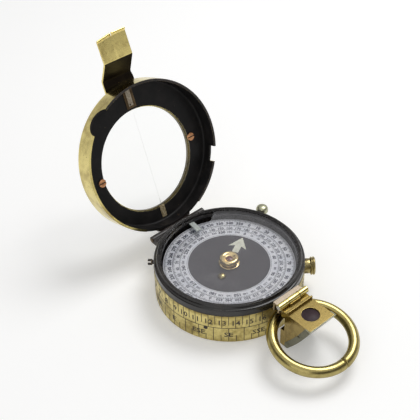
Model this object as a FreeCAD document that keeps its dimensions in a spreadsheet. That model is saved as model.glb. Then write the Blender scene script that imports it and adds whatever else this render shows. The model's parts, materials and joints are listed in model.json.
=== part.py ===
import FreeCAD, Part
# Prismatic marching compass. Millimetres, +Z up, origin at the centre of the drum's underside.
# The lid hinge is on the +Y side, the prism and the carrying ring are on the -Y side.
import math
import os
import Sketcher

Vector = FreeCAD.Vector
Rotation = FreeCAD.Rotation
doc = FreeCAD.newDocument("marching_compass")
sheet = doc.addObject("Spreadsheet::Sheet", "sizes")
written = []
pieces = {}


class Size:
    """A number together with the text that reads it from the sheet."""

    def __init__(self, value, text):
        self.value = value
        self.text = text

    def __add__(self, other):
        return combine(self, "+", other)

    def __radd__(self, other):
        return combine(other, "+", self)

    def __sub__(self, other):
        return combine(self, "-", other)

    def __rsub__(self, other):
        return combine(other, "-", self)

    def __mul__(self, other):
        return combine(self, "*", other)

    def __rmul__(self, other):
        return combine(other, "*", self)

    def __truediv__(self, other):
        return combine(self, "/", other)

    def __rtruediv__(self, other):
        return combine(other, "/", self)

    def __neg__(self):
        return combine(0, "-", self)


def number(value):
    """Plain number of a Size or of a number."""
    return value.value if isinstance(value, Size) else float(value)


def text_of(value):
    """Text of a Size or of a number, as the sheet's expressions write it."""
    return value.text if isinstance(value, Size) else repr(float(value))


def combine(left, sign, right):
    """A Size worked out from two others."""
    a, b = number(left), number(right)
    if sign == "+":
        value = a + b
    elif sign == "-":
        value = a - b
    elif sign == "*":
        value = a * b
    else:
        value = a / b
    return Size(value, "(%s %s %s)" % (text_of(left), sign, text_of(right)))


def sine(angle):
    return Size(math.sin(math.radians(number(angle))), "sin(%s)" % text_of(angle))


def cosine(angle):
    return Size(math.cos(math.radians(number(angle))), "cos(%s)" % text_of(angle))


def root(value):
    return Size(math.sqrt(number(value)), "sqrt(%s)" % text_of(value))


def size(alias, value, note):
    """Write one driving size in the sheet and hand it back."""
    row = len(written) + 1
    sheet.set("A%d" % row, alias)
    sheet.set("B%d" % row, repr(float(value)))
    sheet.setAlias("B%d" % row, alias)
    sheet.set("C%d" % row, note)
    written.append(alias)
    return Size(float(value), "sizes." + alias)


def bind(item, prop, value):
    """Tie one property of an object to the sheet."""
    if isinstance(value, Size):
        item.setExpression(prop, value.text)
    else:
        setattr(item, prop, float(value))


def put(item, base=(0, 0, 0), rotation=Rotation()):
    """Give an object its Placement, its base tied to the sheet."""
    item.Placement = FreeCAD.Placement(Vector(*[number(part) for part in base]), rotation)
    for axis, part in zip("xyz", base):
        if isinstance(part, Size):
            item.setExpression(".Placement.Base." + axis, part.text)
    return item


UPRIGHT = Rotation()
ALONG_X = Rotation(Vector(0, 1, 0), 90)
ALONG_Y = Rotation(Vector(1, 0, 0), -90)


def about_z(bearing):
    return Rotation(Vector(0, 0, 1), number(bearing))


def outward(bearing):
    """Turns a piece made along +Z so that it points out from the axis at a bearing."""
    return about_z(bearing).multiply(ALONG_X)


def cylinder(name, radius, height, base=(0, 0, 0), rotation=UPRIGHT):
    item = doc.addObject("Part::Cylinder", name)
    bind(item, "Radius", radius)
    bind(item, "Height", height)
    return put(item, base, rotation)


def sector(name, radius, height, low, angle, start):
    """Pie slice of a cylinder, from the bearing start."""
    item = cylinder(name, radius, height, (0, 0, low), about_z(start))
    bind(item, "Angle", angle)
    return item


def cone(name, radius_1, radius_2, height, base=(0, 0, 0), rotation=UPRIGHT):
    item = doc.addObject("Part::Cone", name)
    bind(item, "Radius1", radius_1)
    bind(item, "Radius2", radius_2)
    bind(item, "Height", height)
    return put(item, base, rotation)


def box(name, x, y, z, rotation=UPRIGHT):
    """Box from three (low, high) pairs, turned about the origin's Z axis if asked."""
    item = doc.addObject("Part::Box", name)
    bind(item, "Length", x[1] - x[0])
    bind(item, "Width", y[1] - y[0])
    bind(item, "Height", z[1] - z[0])
    if rotation is UPRIGHT:
        return put(item, (x[0], y[0], z[0]))
    corner = rotation.multVec(Vector(number(x[0]), number(y[0]), 0))
    return put(item, (corner.x, corner.y, z[0]), rotation)


def fuse(name, *items):
    item = doc.addObject("Part::MultiFuse", name)
    item.Shapes = list(items)
    item.Refine = True
    return item


def group(name, *items):
    """Separate solids that share one node."""
    item = doc.addObject("Part::Compound", name)
    item.Links = list(items)
    return item


def cut(name, base, *tools):
    item = doc.addObject("Part::Cut", name)
    item.Base = base
    item.Tool = tools[0] if len(tools) == 1 else fuse(name + "_tools", *tools)
    item.Refine = True
    return item


def common(name, first, second):
    item = doc.addObject("Part::Common", name)
    item.Base = first
    item.Tool = second
    item.Refine = True
    return item


def profile(body, role, outline):
    """Closed sketch on one of the body's planes.

    A point is (across, up) or (across, up, radius). The radius bends the line to the next point
    into an arc, to the left of the way along for a positive radius, and to the right for a
    negative one.
    """
    sketch = body.newObject("Sketcher::SketchObject", body.Name + "_outline")
    plane = [part for part in body.Origin.OriginFeatures if part.Role == role][0]
    sketch.AttachmentSupport = [(plane, "")]
    sketch.MapMode = "FlatFace"
    corners = [Vector(number(point[0]), number(point[1]), 0) for point in outline]
    flipped = [len(point) == 3 and number(point[2]) > 0 for point in outline]
    for k, point in enumerate(outline):
        start = corners[k]
        end = corners[(k + 1) % len(corners)]
        if len(point) == 2:
            sketch.addGeometry(Part.LineSegment(start, end), False)
        else:
            sketch.addGeometry(arc_between(start, end, number(point[2])), False)
    for k in range(len(outline)):
        after = (k + 1) % len(outline)
        own_end = 1 if flipped[k] else 2
        next_start = 2 if flipped[after] else 1
        sketch.addConstraint(Sketcher.Constraint("Coincident", k, own_end, after, next_start))
    for k, point in enumerate(outline):
        vertex = 2 if flipped[k] else 1
        for kind, value in (("DistanceX", point[0]), ("DistanceY", point[1])):
            made = sketch.addConstraint(Sketcher.Constraint(kind, -1, 1, k, vertex, number(value)))
            if isinstance(value, Size):
                sketch.setExpression("Constraints[%d]" % made, value.text)
        if len(point) == 3:
            radius = point[2] if number(point[2]) > 0 else -point[2]
            made = sketch.addConstraint(Sketcher.Constraint("Radius", k, number(radius)))
            if isinstance(radius, Size):
                sketch.setExpression("Constraints[%d]" % made, radius.text)
    return sketch


def arc_between(start, end, bend):
    """Arc of a sketch, which always runs anticlockwise, so a bend to the left swaps its ends."""
    first, last = (end, start) if bend > 0 else (start, end)
    chord = last - first
    radius = max(abs(bend), chord.Length / 2)
    inward = Vector(-chord.y, chord.x, 0).normalize()
    centre = (first + last) / 2 + inward * math.sqrt(radius ** 2 - (chord.Length / 2) ** 2)
    low = math.atan2(first.y - centre.y, first.x - centre.x)
    high = math.atan2(last.y - centre.y, last.x - centre.x)
    while high <= low:
        high += 2 * math.pi
    return Part.ArcOfCircle(Part.Circle(centre, Vector(0, 0, 1), radius), low, high)


def turned(name, outline):
    """Body of revolution about Z from an outline of (radius, height) points."""
    body = doc.addObject("PartDesign::Body", name)
    sketch = profile(body, "XZ_Plane", outline)
    feature = body.newObject("PartDesign::Revolution", name + "_turned")
    feature.Profile = sketch
    feature.ReferenceAxis = (sketch, ["V_Axis"])
    feature.Angle = 360
    body.Tip = feature
    return body


def padded(name, role, outline, width, both_sides=True):
    """Body made by padding an outline, symmetric about its plane unless told otherwise."""
    body = doc.addObject("PartDesign::Body", name)
    sketch = profile(body, role, outline)
    feature = body.newObject("PartDesign::Pad", name + "_pad")
    feature.Profile = sketch
    bind(feature, "Length", width)
    feature.SideType = "Symmetric" if both_sides else "One side"
    body.Tip = feature
    return body


def piece(name, item, placement=None):
    """Name a finished sub-part, and give it its Placement."""
    item.Label = name
    if placement is not None:
        item.Placement = placement
    pieces[name] = item
    return item


# Drum
drum_radius = size("drum_radius", 28.4, "outside of the drum wall")
drum_height = size("drum_height", 13.5, "underside to the rim")
drum_wall = size("drum_wall", 1.2, "wall thickness")
drum_floor = size("drum_floor", 1.3, "floor thickness")
foot_round = size("foot_round", 0.6, "rounding of the bottom edge")
running_gap = size("running_gap", 0.05, "play of turning and sliding fits")
seat_gap = size("seat_gap", 0.1, "play between loose neighbours")
dimple_radius = size("dimple_radius", 0.6, "assembler's mark on the wall")
dimple_height = size("dimple_height", 6.6, "height of the mark")
dimple_bearing = size("dimple_bearing", -150.0, "bearing of the mark from +X")

# Pivot
post_foot_radius = size("post_foot_radius", 4.5, "flange of the pivot post")
post_foot_height = size("post_foot_height", 1.2, "flange thickness")
post_radius = size("post_radius", 1.6, "column of the pivot post")
post_taper = size("post_taper", 2.0, "height of the column's taper")
post_gap = size("post_gap", 0.8, "top of the column below the hub")
post_top_radius = size("post_top_radius", 0.7, "radius at the top of the column")
point_radius = size("point_radius", 0.45, "steel pivot point")
point_cone = size("point_cone", 0.85, "height of the point's cone")
jewel_cone_depth = size("jewel_cone_depth", 0.25, "tip of the pivot point above the jewel's seat")
point_tip_radius = size("point_tip_radius", 0.05, "blunt tip of the pivot point")
post_screw_ring = size("post_screw_ring", 3.1, "screws from the centre")
small_shank = size("small_shank", 0.5, "shank radius of the small screws")
small_head = size("small_head", 0.8, "head radius of the small screws")
small_head_height = size("small_head_height", 0.5, "head height of the small screws")
small_depth = size("small_depth", 0.8, "depth of the small screws in the floor")
slot_width = size("slot_width", 0.3, "screwdriver slots")
slot_depth = size("slot_depth", 0.25, "depth of the screwdriver slots")

# Card
card_gap = size("card_gap", 0.4, "dial ring inside the shelf")
card_drop = size("card_drop", 1.0, "card's underside below the drum's rim")
card_thickness = size("card_thickness", 0.4, "thickness of the card")
dial_width = size("dial_width", 9.45, "width of the dial ring")
hub_radius = size("hub_radius", 2.0, "hub below the card's cap")
hub_drop = size("hub_drop", 1.2, "hub below the card")
cap_flange_radius = size("cap_flange_radius", 3.9, "flange of the cap")
cap_flange_height = size("cap_flange_height", 0.4, "flange of the cap")
cap_neck_radius = size("cap_neck_radius", 2.6, "neck of the cap")
cap_head_radius = size("cap_head_radius", 3.4, "head of the cap")
cap_rise = size("cap_rise", 2.1, "cap's head above the card's underside")
cap_head_height = size("cap_head_height", 1.2, "height of the cap's head")
cap_round = size("cap_round", 1.4, "rounding of the cap's head")
cap_bore_radius = size("cap_bore_radius", 0.9, "bore round the pivot point")
jewel_radius = size("jewel_radius", 1.3, "jewel")
jewel_cone_radius = size("jewel_cone_radius", 0.55, "mouth of the jewel's cone")
jewel_rise = size("jewel_rise", 0.15, "rise of the jewel above the cap")
needle_inset = size("needle_inset", 4.95, "magnet's end inside the dial ring's edge")
needle_half_width = size("needle_half_width", 1.3, "half width of the magnet")
needle_thickness = size("needle_thickness", 0.8, "thickness of the magnet")
needle_eye_radius = size("needle_eye_radius", 3.3, "eye of the magnet round the hub")
needle_tip_width = size("needle_tip_width", 0.5, "half width at the magnet's tips")
north_bearing = size("north_bearing", 27.0, "bearing of the arrow from +X at rest")
arrow_rim_gap = size("arrow_rim_gap", 0.6, "tip of the arrow inside the disc's edge")
arrow_head = size("arrow_head", 6.0, "length of the arrow's head")
arrow_wing_half = size("arrow_wing_half", 3.6, "half width across the wings")
arrow_hollow = size("arrow_hollow", 1.0, "hollow behind the arrow's head")
arrow_tail = size("arrow_tail", 6.2, "end of the tail from the centre")
arrow_tail_half = size("arrow_tail_half", 1.25, "half width of the tail")
arrow_thickness = size("arrow_thickness", 0.12, "thickness of the arrow")
weight_ring = size("weight_ring", 7.9, "balance weight from the centre")
weight_radius = size("weight_radius", 1.1, "balance weight")
weight_height = size("weight_height", 0.7, "balance weight")

# Bezel
bezel_inset = size("bezel_inset", 0.1, "bezel band inside the drum's outside")
band_height = size("band_height", 2.45, "straight band above the drum's rim")
bezel_edge = size("bezel_edge", 0.3, "rounded edge above the band")
cove_radius = size("cove_radius", 1.15, "concave groove under the lip")
lip_inset = size("lip_inset", 1.35, "lip inside the bezel band")
cove_height = size("cove_height", 1.2, "groove between the band and the lip")
lip_height = size("lip_height", 0.45, "height of the lip")
lip_wall = size("lip_wall", 0.7, "wall of the lip")
shelf_reach = size("shelf_reach", 0.95, "glass shelf inside the spigot")
glass_recess = size("glass_recess", 1.4, "seat of the glass below the lip")
shelf_height = size("shelf_height", 1.2, "thickness of the shelf")
spigot_depth = size("spigot_depth", 2.3, "bezel's spigot below the drum's rim")
spigot_wall = size("spigot_wall", 0.85, "wall of the spigot")
snap_below = size("snap_below", 1.2, "underside of the snap ring below the drum's rim")
snap_thickness = size("snap_thickness", 0.3, "thickness of the snap ring")
snap_depth = size("snap_depth", 0.25, "depth of the drum's snap ring groove")
snap_reach = size("snap_reach", 0.45, "reach of the snap ring into the bore")
snap_opening = size("snap_opening", 10.0, "angle left open in the snap ring")
glass_thickness = size("glass_thickness", 0.8, "bezel glass")
retainer_height = size("retainer_height", 0.35, "wire ring over the glass")
retainer_width = size("retainer_width", 0.45, "wire ring over the glass")
retainer_opening = size("retainer_opening", 8.0, "angle left open in the wire ring")
index_bearing = size("index_bearing", 83.0, "bearing of the luminous index")
index_length = size("index_length", 5.35, "length of the index inside the shelf")
index_half = size("index_half", 1.05, "half width of the index")
index_thickness = size("index_thickness", 0.4, "thickness of the index")
index_seat = size("index_seat", 0.7, "how far the index reaches under the shelf")

# Card lifter
lifter_bearing = size("lifter_bearing", 22.4, "bearing of the lifter and its stud")
lever_drop = size("lever_drop", 1.9, "underside of the lever below the hub")
lever_thickness = size("lever_thickness", 0.8, "thickness of the lever")
lever_half = size("lever_half", 1.0, "half width of the lever")
lever_end = size("lever_end", 1.3, "radius of the lever's outer end")
lever_pivot = size("lever_pivot", 14.0, "lever pivot from the centre")
fork_gap = size("fork_gap", 0.2, "play between the fork and the pivot post")
fork_arm = size("fork_arm", 0.9, "width of each fork arm")
fork_reach = size("fork_reach", 2.0, "reach of the fork past the centre")
fork_root = size("fork_root", 4.6, "root of the fork from the centre")
boss_drop = size("boss_drop", 0.9, "depth of the lever's boss")
boss_half = size("boss_half", 0.95, "half length of the boss along the lever")
pin_drop = size("pin_drop", 0.4, "pin's axis under the lever")
lever_pin_radius = size("lever_pin_radius", 0.35, "pin of the lever")
block_wall = size("block_wall", 0.7, "cheeks of the bearing block")
block_half = size("block_half", 1.3, "half length of the block")
block_foot = size("block_foot", 0.8, "foot of the block")
block_rise = size("block_rise", 0.75, "cheeks above the pin's axis")
stud_post_radius = size("stud_post_radius", 0.9, "post of the stud")
stud_head_radius = size("stud_head_radius", 2.0, "head of the stud")
stud_head_height = size("stud_head_height", 1.85, "height of the stud's head")
stud_head_edge = size("stud_head_edge", 0.6, "straight edge of the head")
stud_rise = size("stud_rise", 3.85, "top of the stud above the drum's rim")
stud_drop = size("stud_drop", 0.8, "how far the shut lid presses the stud")
slot_rise = size("slot_rise", 0.7, "room above the lever in the wall slot")
spring_sheet = size("spring_sheet", 0.25, "leaf spring")
spring_half = size("spring_half", 0.8, "half width of the leaf spring")
spring_offset = size("spring_offset", 2.5, "root of the leaf spring from the lever's pivot")
spring_flat = size("spring_flat", 3.0, "flat part of the leaf spring")
spring_wall_gap = size("spring_wall_gap", 1.7, "end of the leaf spring from the drum's bore")
spring_lift = size("spring_lift", 0.75, "spring end above the floor")

# Card brake
brake_bearing = size("brake_bearing", -40.0, "bearing of the brake button")
brake_drop = size("brake_drop", 3.6, "brake button below the drum's rim")
bush_radius = size("bush_radius", 2.9, "collar of the bush")
bush_length = size("bush_length", 2.0, "collar of the bush")
bush_shank_radius = size("bush_shank_radius", 1.7, "shank of the bush in the wall")
plunger_radius = size("plunger_radius", 1.0, "plunger of the button")
plunger_tip_radius = size("plunger_tip_radius", 0.6, "tip of the plunger")
button_travel = size("button_travel", 0.6, "travel of the button")
button_neck_radius = size("button_neck_radius", 2.1, "neck of the button")
button_neck = size("button_neck", 0.9, "length of the neck")
button_head_radius = size("button_head_radius", 3.5, "head of the button")
button_head = size("button_head", 1.1, "thickness of the head")
button_round = size("button_round", 0.45, "rounding of the head")
arm_bearing = size("arm_bearing", -80.0, "bearing of the brake arm's post")
arm_post_inset = size("arm_post_inset", 1.0, "arm's post inside the arm's outside")
arm_post_radius = size("arm_post_radius", 0.6, "post of the brake arm")
arm_eye_radius = size("arm_eye_radius", 1.1, "eye of the brake arm")
arm_wall_gap = size("arm_wall_gap", 0.3, "arm from the drum's bore")
arm_strip = size("arm_strip", 0.5, "thickness of the arm")
arm_half_height = size("arm_half_height", 1.0, "half height of the arm")
brake_gap = size("brake_gap", 0.7, "braking face from the dial ring at rest")
pad_half = size("pad_half", 1.5, "half width of the pad")
pad_spigot_gap = size("pad_spigot_gap", 0.2, "back of the pad inside the spigot")
pad_rise = size("pad_rise", 0.2, "top of the pad above the card")

# Bezel clamp
clamp_bearing = size("clamp_bearing", 135.0, "bearing of the bezel clamp screw")
clamp_drop = size("clamp_drop", 1.3, "clamp screw below the drum's rim")
clamp_shank = size("clamp_shank", 0.8, "shank radius")
clamp_head = size("clamp_head", 1.15, "head radius")
clamp_standoff = size("clamp_standoff", 1.0, "head from the wall")
clamp_head_length = size("clamp_head_length", 1.5, "head length")

# Lid
lid_overhang = size("lid_overhang", 1.0, "lid's rim outside the drum")
lid_wall = size("lid_wall", 0.9, "wall of the rim")
lid_gap = size("lid_gap", 0.1, "rim edge above the drum")
lid_depth = size("lid_depth", 9.07, "top of the shut lid above the drum's rim")
lid_plate = size("lid_plate", 2.5, "thickness of the lid's plate")
lid_shoulder = size("lid_shoulder", 2.0, "rounded shoulder outside")
lid_fillet = size("lid_fillet", 0.9, "fillet inside")
lid_open_angle = size("lid_open_angle", 110.2, "opening angle at rest")
window_offset = size("window_offset", 2.18, "window centre towards the hinge")
window_radius = size("window_radius", 20.35, "bore of the window")
window_bevel = size("window_bevel", 0.35, "bevel of the window's outer edge")
glass_lap = size("glass_lap", 0.4, "lap of the window glass on its seat")
lid_glass_thickness = size("lid_glass_thickness", 0.9, "window glass")
lid_screw_out = size("lid_screw_out", 1.15, "lid screws outside the window glass")
lid_screw_head = size("lid_screw_head", 1.6, "head of the lid screws")
lid_screw_height = size("lid_screw_height", 0.55, "head height of the lid screws")
lid_screw_shank = size("lid_screw_shank", 0.55, "shank of the lid screws")
lid_screw_depth = size("lid_screw_depth", 1.6, "depth of the lid screws")
lid_slot_width = size("lid_slot_width", 0.4, "slot of the lid screws")
hairline_radius = size("hairline_radius", 0.1, "sighting wire")
strip_thickness = size("strip_thickness", 0.32, "luminous strips")
upper_frame_half = size("upper_frame_half", 2.1, "half width of the upper frame")
frame_rim_gap = size("frame_rim_gap", 1.7, "far end of the upper frame from the rim")
frame_window_gap = size("frame_window_gap", 1.13, "upper frame from the window's edge")
upper_strip_half = size("upper_strip_half", 1.0, "half width of the upper strip")
upper_frame_end = size("upper_frame_end", 0.9, "end bar of the upper frame at the window")
upper_frame_cap = size("upper_frame_cap", 0.4, "end bar of the upper frame at the rim")
lower_strip_half = size("lower_strip_half", 1.1, "half width of the lower strip")
strip_window_lap = size("strip_window_lap", 0.23, "lap of the lower strip over the window's edge")
strip_rim_gap = size("strip_rim_gap", 1.2, "far end of the lower strip from the rim")
notch_half = size("notch_half", 3.0, "half width of the stud notch")
thumb_bearing = size("thumb_bearing", -130.0, "bearing of the thumb notch")
thumb_radius = size("thumb_radius", 5.5, "radius of the thumb notch")
thumb_drop = size("thumb_drop", 1.2, "centre of the thumb notch under the rim's edge")
relief_gap = size("relief_gap", 0.4, "rim's cut-back past the hinge's ends")
hinge_relief = size("hinge_relief", 0.6, "depth of the rim's cut-back at the hinge")

# Lid tongue
tongue_sheet = size("tongue_sheet", 0.8, "sheet of the tongue")
tongue_lap = size("tongue_lap", 5.4, "tongue's lap on the lid's plate")
tongue_bend_out = size("tongue_bend_out", 2.1, "first bend outside the lid's rim")
tongue_slope = size("tongue_slope", 28.8, "slope between the bends")
tongue_run = size("tongue_run", 6.25, "level length of the slope")
tongue_short = size("tongue_short", 0.5, "end of the tongue inside the case's far end")
tongue_root_half = size("tongue_root_half", 8.0, "half width at the root")
tongue_flare = size("tongue_flare", 3.2, "radius of the flare at the root")
tongue_lip = size("tongue_lip", 1.0, "bent lip at the end")
tongue_slot_half = size("tongue_slot_half", 0.45, "half width of the end slot")
tongue_slot_depth = size("tongue_slot_depth", 1.6, "depth of the end slot")
rivet_radius = size("rivet_radius", 0.7, "shank of the rivets")
rivet_head = size("rivet_head", 1.2, "head of the rivets")
rivet_rise = size("rivet_rise", 0.5, "height of the rivet heads")
tongue_rivet_half = size("tongue_rivet_half", 4.6, "tongue rivets from the middle")
tongue_rivet_in = size("tongue_rivet_in", 2.2, "tongue rivets from the tongue's root")
rivet_bite = size("rivet_bite", 1.4, "depth of the tongue rivets in the lid")

# Lid hinge
barrel_radius = size("barrel_radius", 1.45, "knuckles of the lid hinge")
hinge_drop = size("hinge_drop", 1.16, "lid hinge's axis below the drum's rim")
hinge_pin_radius = size("hinge_pin_radius", 0.6, "lid hinge pin")
hinge_half = size("hinge_half", 13.0, "half length of the lid hinge")
knuckle_half = size("knuckle_half", 5.4, "half length of the lid's knuckle")
knuckle_gap = size("knuckle_gap", 0.1, "play between knuckles")
leaf_sheet = size("leaf_sheet", 0.7, "sheet of the lid hinge's leaves")
drum_leaf_height = size("drum_leaf_height", 6.4, "height of the drum's leaf")
drum_leaf_gap = size("drum_leaf_gap", 0.6, "drum's leaf below the drum's rim")
web_drop = size("web_drop", 1.44, "webs to the knuckles, below the hinge's axis")
web_rise = size("web_rise", 0.85, "webs to the knuckles, above the hinge's axis")
drum_rivet_up = size("drum_rivet_up", 2.1, "rivets above the lower edge of the drum's leaf")
drum_rivet_inner = size("drum_rivet_inner", 8.0, "bearing of the inner rivets from +Y")
drum_rivet_outer = size("drum_rivet_outer", 20.0, "bearing of the outer rivets from +Y")
lid_leaf_half = size("lid_leaf_half", 8.0, "half width of the lid's leaf")
lid_leaf_gap = size("lid_leaf_gap", 3.07, "lid's leaf below the lid's top")
lid_rivet_down = size("lid_rivet_down", 2.4, "rivets below the far edge of the lid's leaf")
lid_rivet_bearing = size("lid_rivet_bearing", 9.0, "bearing of those rivets from +Y")

# Prism bracket and its hinge
bracket_sheet = size("bracket_sheet", 0.7, "sheet of the bracket")
base_depth = size("base_depth", 3.1, "height of the bracket's base")
base_drop = size("base_drop", 2.8, "bracket's base below the lug's centre")
hood_height = size("hood_height", 3.8, "height of the hood")
hood_rise = size("hood_rise", 5.1, "top of the hood above the drum's rim")
hood_gap = size("hood_gap", 0.2, "hood outside the lid's rim")
hood_depth = size("hood_depth", 3.0, "depth of the hood")
lug_height = size("lug_height", 11.4, "lug's centre above the base")
lug_wall = size("lug_wall", 0.6, "wall of the lug")
lug_play = size("lug_play", 0.5, "play of the ring in its lug")
lug_half = size("lug_half", 2.0, "half width of the lug")
bracket_screw_bearing = size("bracket_screw_bearing", 8.4, "bracket screws from -Y")
bracket_screw_up = size("bracket_screw_up", 1.7, "bracket screws above the base's lower edge")
prism_axis_out = size("prism_axis_out", 0.45, "prism hinge's axis outside the hood")
prism_axis_up = size("prism_axis_up", 0.1, "prism hinge's axis above the hood")
prism_barrel = size("prism_barrel", 1.2, "knuckles of the prism hinge")
prism_pin_radius = size("prism_pin_radius", 0.5, "prism hinge pin")
prism_knuckle_out = size("prism_knuckle_out", 0.7, "prism hinge past the bracket's sides")
prism_knuckle_left = size("prism_knuckle_left", 2.45, "leaf's knuckle to the left")
prism_knuckle_right = size("prism_knuckle_right", 2.75, "leaf's knuckle to the right")
pin_head_radius = size("pin_head_radius", 0.85, "riveted ends of the hinge pins")
pin_head = size("pin_head", 0.3, "riveted ends of the hinge pins")

# Prism leaf
leaf_half = size("leaf_half", 6.15, "half width of the prism leaf and case")
leaf_out = size("leaf_out", 2.45, "leaf's plate outside the prism hinge's axis")
leaf_plate = size("leaf_plate", 0.8, "thickness of the leaf's plate")
leaf_low = size("leaf_low", 0.5, "lower edge of the leaf")
leaf_drop = size("leaf_drop", 1.1, "upper edge of the leaf below the prism hinge's axis")
leaf_block_height = size("leaf_block_height", 3.0, "height of the leaf's top block")
leaf_depth = size("leaf_depth", 1.8, "depth of the block and rails")
rail_inner = size("rail_inner", 3.6, "inner side of the rails")
rail_top = size("rail_top", 8.2, "top of the rails")
leaf_slot_half = size("leaf_slot_half", 1.6, "half width of the slot")
leaf_slot_low = size("leaf_slot_low", 1.2, "lower end of the slot")
leaf_arm = size("leaf_arm", 1.55, "thickness of the arm to the knuckle")

# Prism case
focus_gap = size("focus_gap", 0.03, "play between the case and its leaf")
case_sheet = size("case_sheet", 0.5, "sheet of the prism case")
case_back_sheet = size("case_back_sheet", 0.6, "back plate of the case")
case_low = size("case_low", 1.0, "lower end of the case")
case_drop = size("case_drop", 0.3, "top plate below the leaf's upper edge")
ridge_height = size("ridge_height", 1.2, "back plate above the top plate")
case_length = size("case_length", 12.0, "far end of the top plate from the leaf")
case_foot = size("case_foot", 0.8, "depth of the case at its lower end")
case_bulge = size("case_bulge", 0.6, "bulge of the slanted side")
view_radius = size("view_radius", 3.3, "hole of the top plate")
view_out = size("view_out", 6.4, "hole of the top plate from the leaf")
eye_radius = size("eye_radius", 1.3, "eye hole of the back plate")
eye_height = size("eye_height", 8.4, "eye hole of the back plate")
sight_half = size("sight_half", 0.4, "half width of the sighting slit")
sight_low = size("sight_low", 1.8, "lower end of the sighting slit")
key_low = size("key_low", 10.4, "lower end of the guide key")
key_height = size("key_height", 3.0, "height of the guide key")
focus_screw_head = size("focus_screw_head", 2.4, "head of the slide screw")
focus_screw_rise = size("focus_screw_rise", 0.55, "head height of the slide screw")
focus_screw_shank = size("focus_screw_shank", 0.7, "shank of the slide screw")
cover_sheet = size("cover_sheet", 0.4, "sheet of the prism cover")
cover_flange = size("cover_flange", 1.9, "side flange of the cover")
cover_notch_height = size("cover_notch_height", 11.3, "notch in the cover's flange")
cover_notch_half = size("cover_notch_half", 0.35, "half width of that notch")
prism_leg = size("prism_leg", 9.8, "short sides of the glass prism")
lens_radius = size("lens_radius", 2.9, "domed face of the prism")
lens_rise = size("lens_rise", 0.35, "rise of the domed face")

# Carrying ring
ring_wire = size("ring_wire", 2.05, "radius of the ring's wire")
ring_radius = size("ring_radius", 14.57, "radius of the ring's centre line")
ring_yaw = size("ring_yaw", -6.0, "ring turned in its lug, seen from above")
ring_tilt = size("ring_tilt", 8.4, "ring's outer end below the lug, in degrees")
ring_wall_gap = size("ring_wall_gap", 0.3, "ring from the drum's wall inside the lug")
ring_joint = size("ring_joint", 287.0, "butt joint round the ring")
ring_slit = size("ring_slit", 0.4, "angle of the butt joint")

doc.recompute()

# Places that several pieces share
bore = drum_radius - drum_wall
bezel_radius = drum_radius - bezel_inset
lip_radius = bezel_radius - lip_inset
card_under = drum_height - card_drop
hub_bottom = card_under - hub_drop
cap_head_bottom = card_under + cap_rise
cap_top = cap_head_bottom + cap_head_height
point_tip = cap_head_bottom + jewel_cone_depth
point_shoulder = point_tip - point_cone
post_top = hub_bottom - post_gap
post_shoulder = post_top - post_taper
lever_low = hub_bottom - lever_drop
bezel_band_top = drum_height + band_height
lip_low = bezel_band_top + cove_height
lip_top = lip_low + lip_height
shelf_top = lip_top - glass_recess
spigot_bottom = drum_height - spigot_depth
snap_height = drum_height - snap_below
stud_top = drum_height + stud_rise
stud_head_low = stud_top - stud_head_height
brake_height = drum_height - brake_drop
clamp_height = drum_height - clamp_drop
lid_radius = drum_radius + lid_overhang
lid_top = drum_height + lid_depth
hinge_height = drum_height - hinge_drop
drum_leaf_top = drum_height - drum_leaf_gap
drum_leaf_low = drum_leaf_top - drum_leaf_height
drum_rivet_height = drum_leaf_low + drum_rivet_up
lid_leaf_top = lid_top - lid_leaf_gap
lid_rivet_height = lid_leaf_top - lid_rivet_down
hinge_relief_half = hinge_half + relief_gap
bracket_half = leaf_half + running_gap
prism_hinge_half = bracket_half + prism_knuckle_out
bracket_top_of_base = lug_height - base_drop
bracket_low = bracket_top_of_base - base_depth
bracket_screw_height = bracket_low + bracket_screw_up
hood_top = drum_height + hood_rise
hood_low = hood_top - hood_height
hood_inner = lid_radius + hood_gap
hood_outer = hood_inner + hood_depth
prism_axis_reach = hood_outer + prism_axis_out
prism_axis_height = hood_top + prism_axis_up
leaf_back = prism_axis_reach + leaf_out
leaf_top = prism_axis_height - leaf_drop
leaf_block_low = leaf_top - leaf_block_height
leaf_slot_top = key_low + key_height + seat_gap
case_top = leaf_top - case_drop
case_ridge = case_top + ridge_height
case_reach = leaf_back + case_length
view_reach = leaf_back + view_out
tongue_half = leaf_half
tongue_bend = lid_radius + tongue_bend_out
tongue_root = lid_radius - tongue_lap
tongue_reach = case_reach - tongue_short
tongue_rivet_ring = tongue_root + tongue_rivet_in
lid_glass_radius = window_radius + glass_lap
lid_screw_ring = lid_glass_radius + lid_screw_out
floor_top = drum_floor
card_top = card_under + card_thickness
lid_low = drum_height + lid_gap
lid_inner = lid_top - lid_plate
lid_bore = lid_radius - lid_wall
spigot_outer = bore - running_gap
spigot_inner = spigot_outer - spigot_wall
lip_inner = lip_radius - lip_wall
shelf_radius = spigot_inner - shelf_reach
card_radius = shelf_radius - card_gap
disc_radius = card_radius - dial_width
needle_half_length = card_radius - needle_inset
arrow_tip = disc_radius - arrow_rim_gap
arrow_wing = arrow_tip - arrow_head
arrow_notch = arrow_wing + arrow_hollow
index_inner = shelf_radius - index_length
stud_ring = bezel_radius + seat_gap + stud_head_radius
spring_start = lever_pivot + spring_offset
spring_bend = spring_start + spring_flat
spring_end = bore - spring_wall_gap
arm_outer = bore - arm_wall_gap
arm_post_ring = arm_outer - arm_post_inset
pad_inner = card_radius + brake_gap
pad_upper_outer = spigot_inner - pad_spigot_gap
pad_top = card_top + pad_rise
upper_frame_far = lid_bore - frame_rim_gap
lower_strip_far = lid_bore - strip_rim_gap
upper_frame_near = window_radius - window_offset + frame_window_gap
lower_strip_near = window_radius + window_offset - strip_window_lap
hinge_reach = drum_radius + barrel_radius + running_gap
pin_height = lever_low - pin_drop
lever_top = lever_low + lever_thickness
button_base = drum_radius + bush_length
lug_reach = drum_radius + ring_wall_gap + ring_wire
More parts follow.
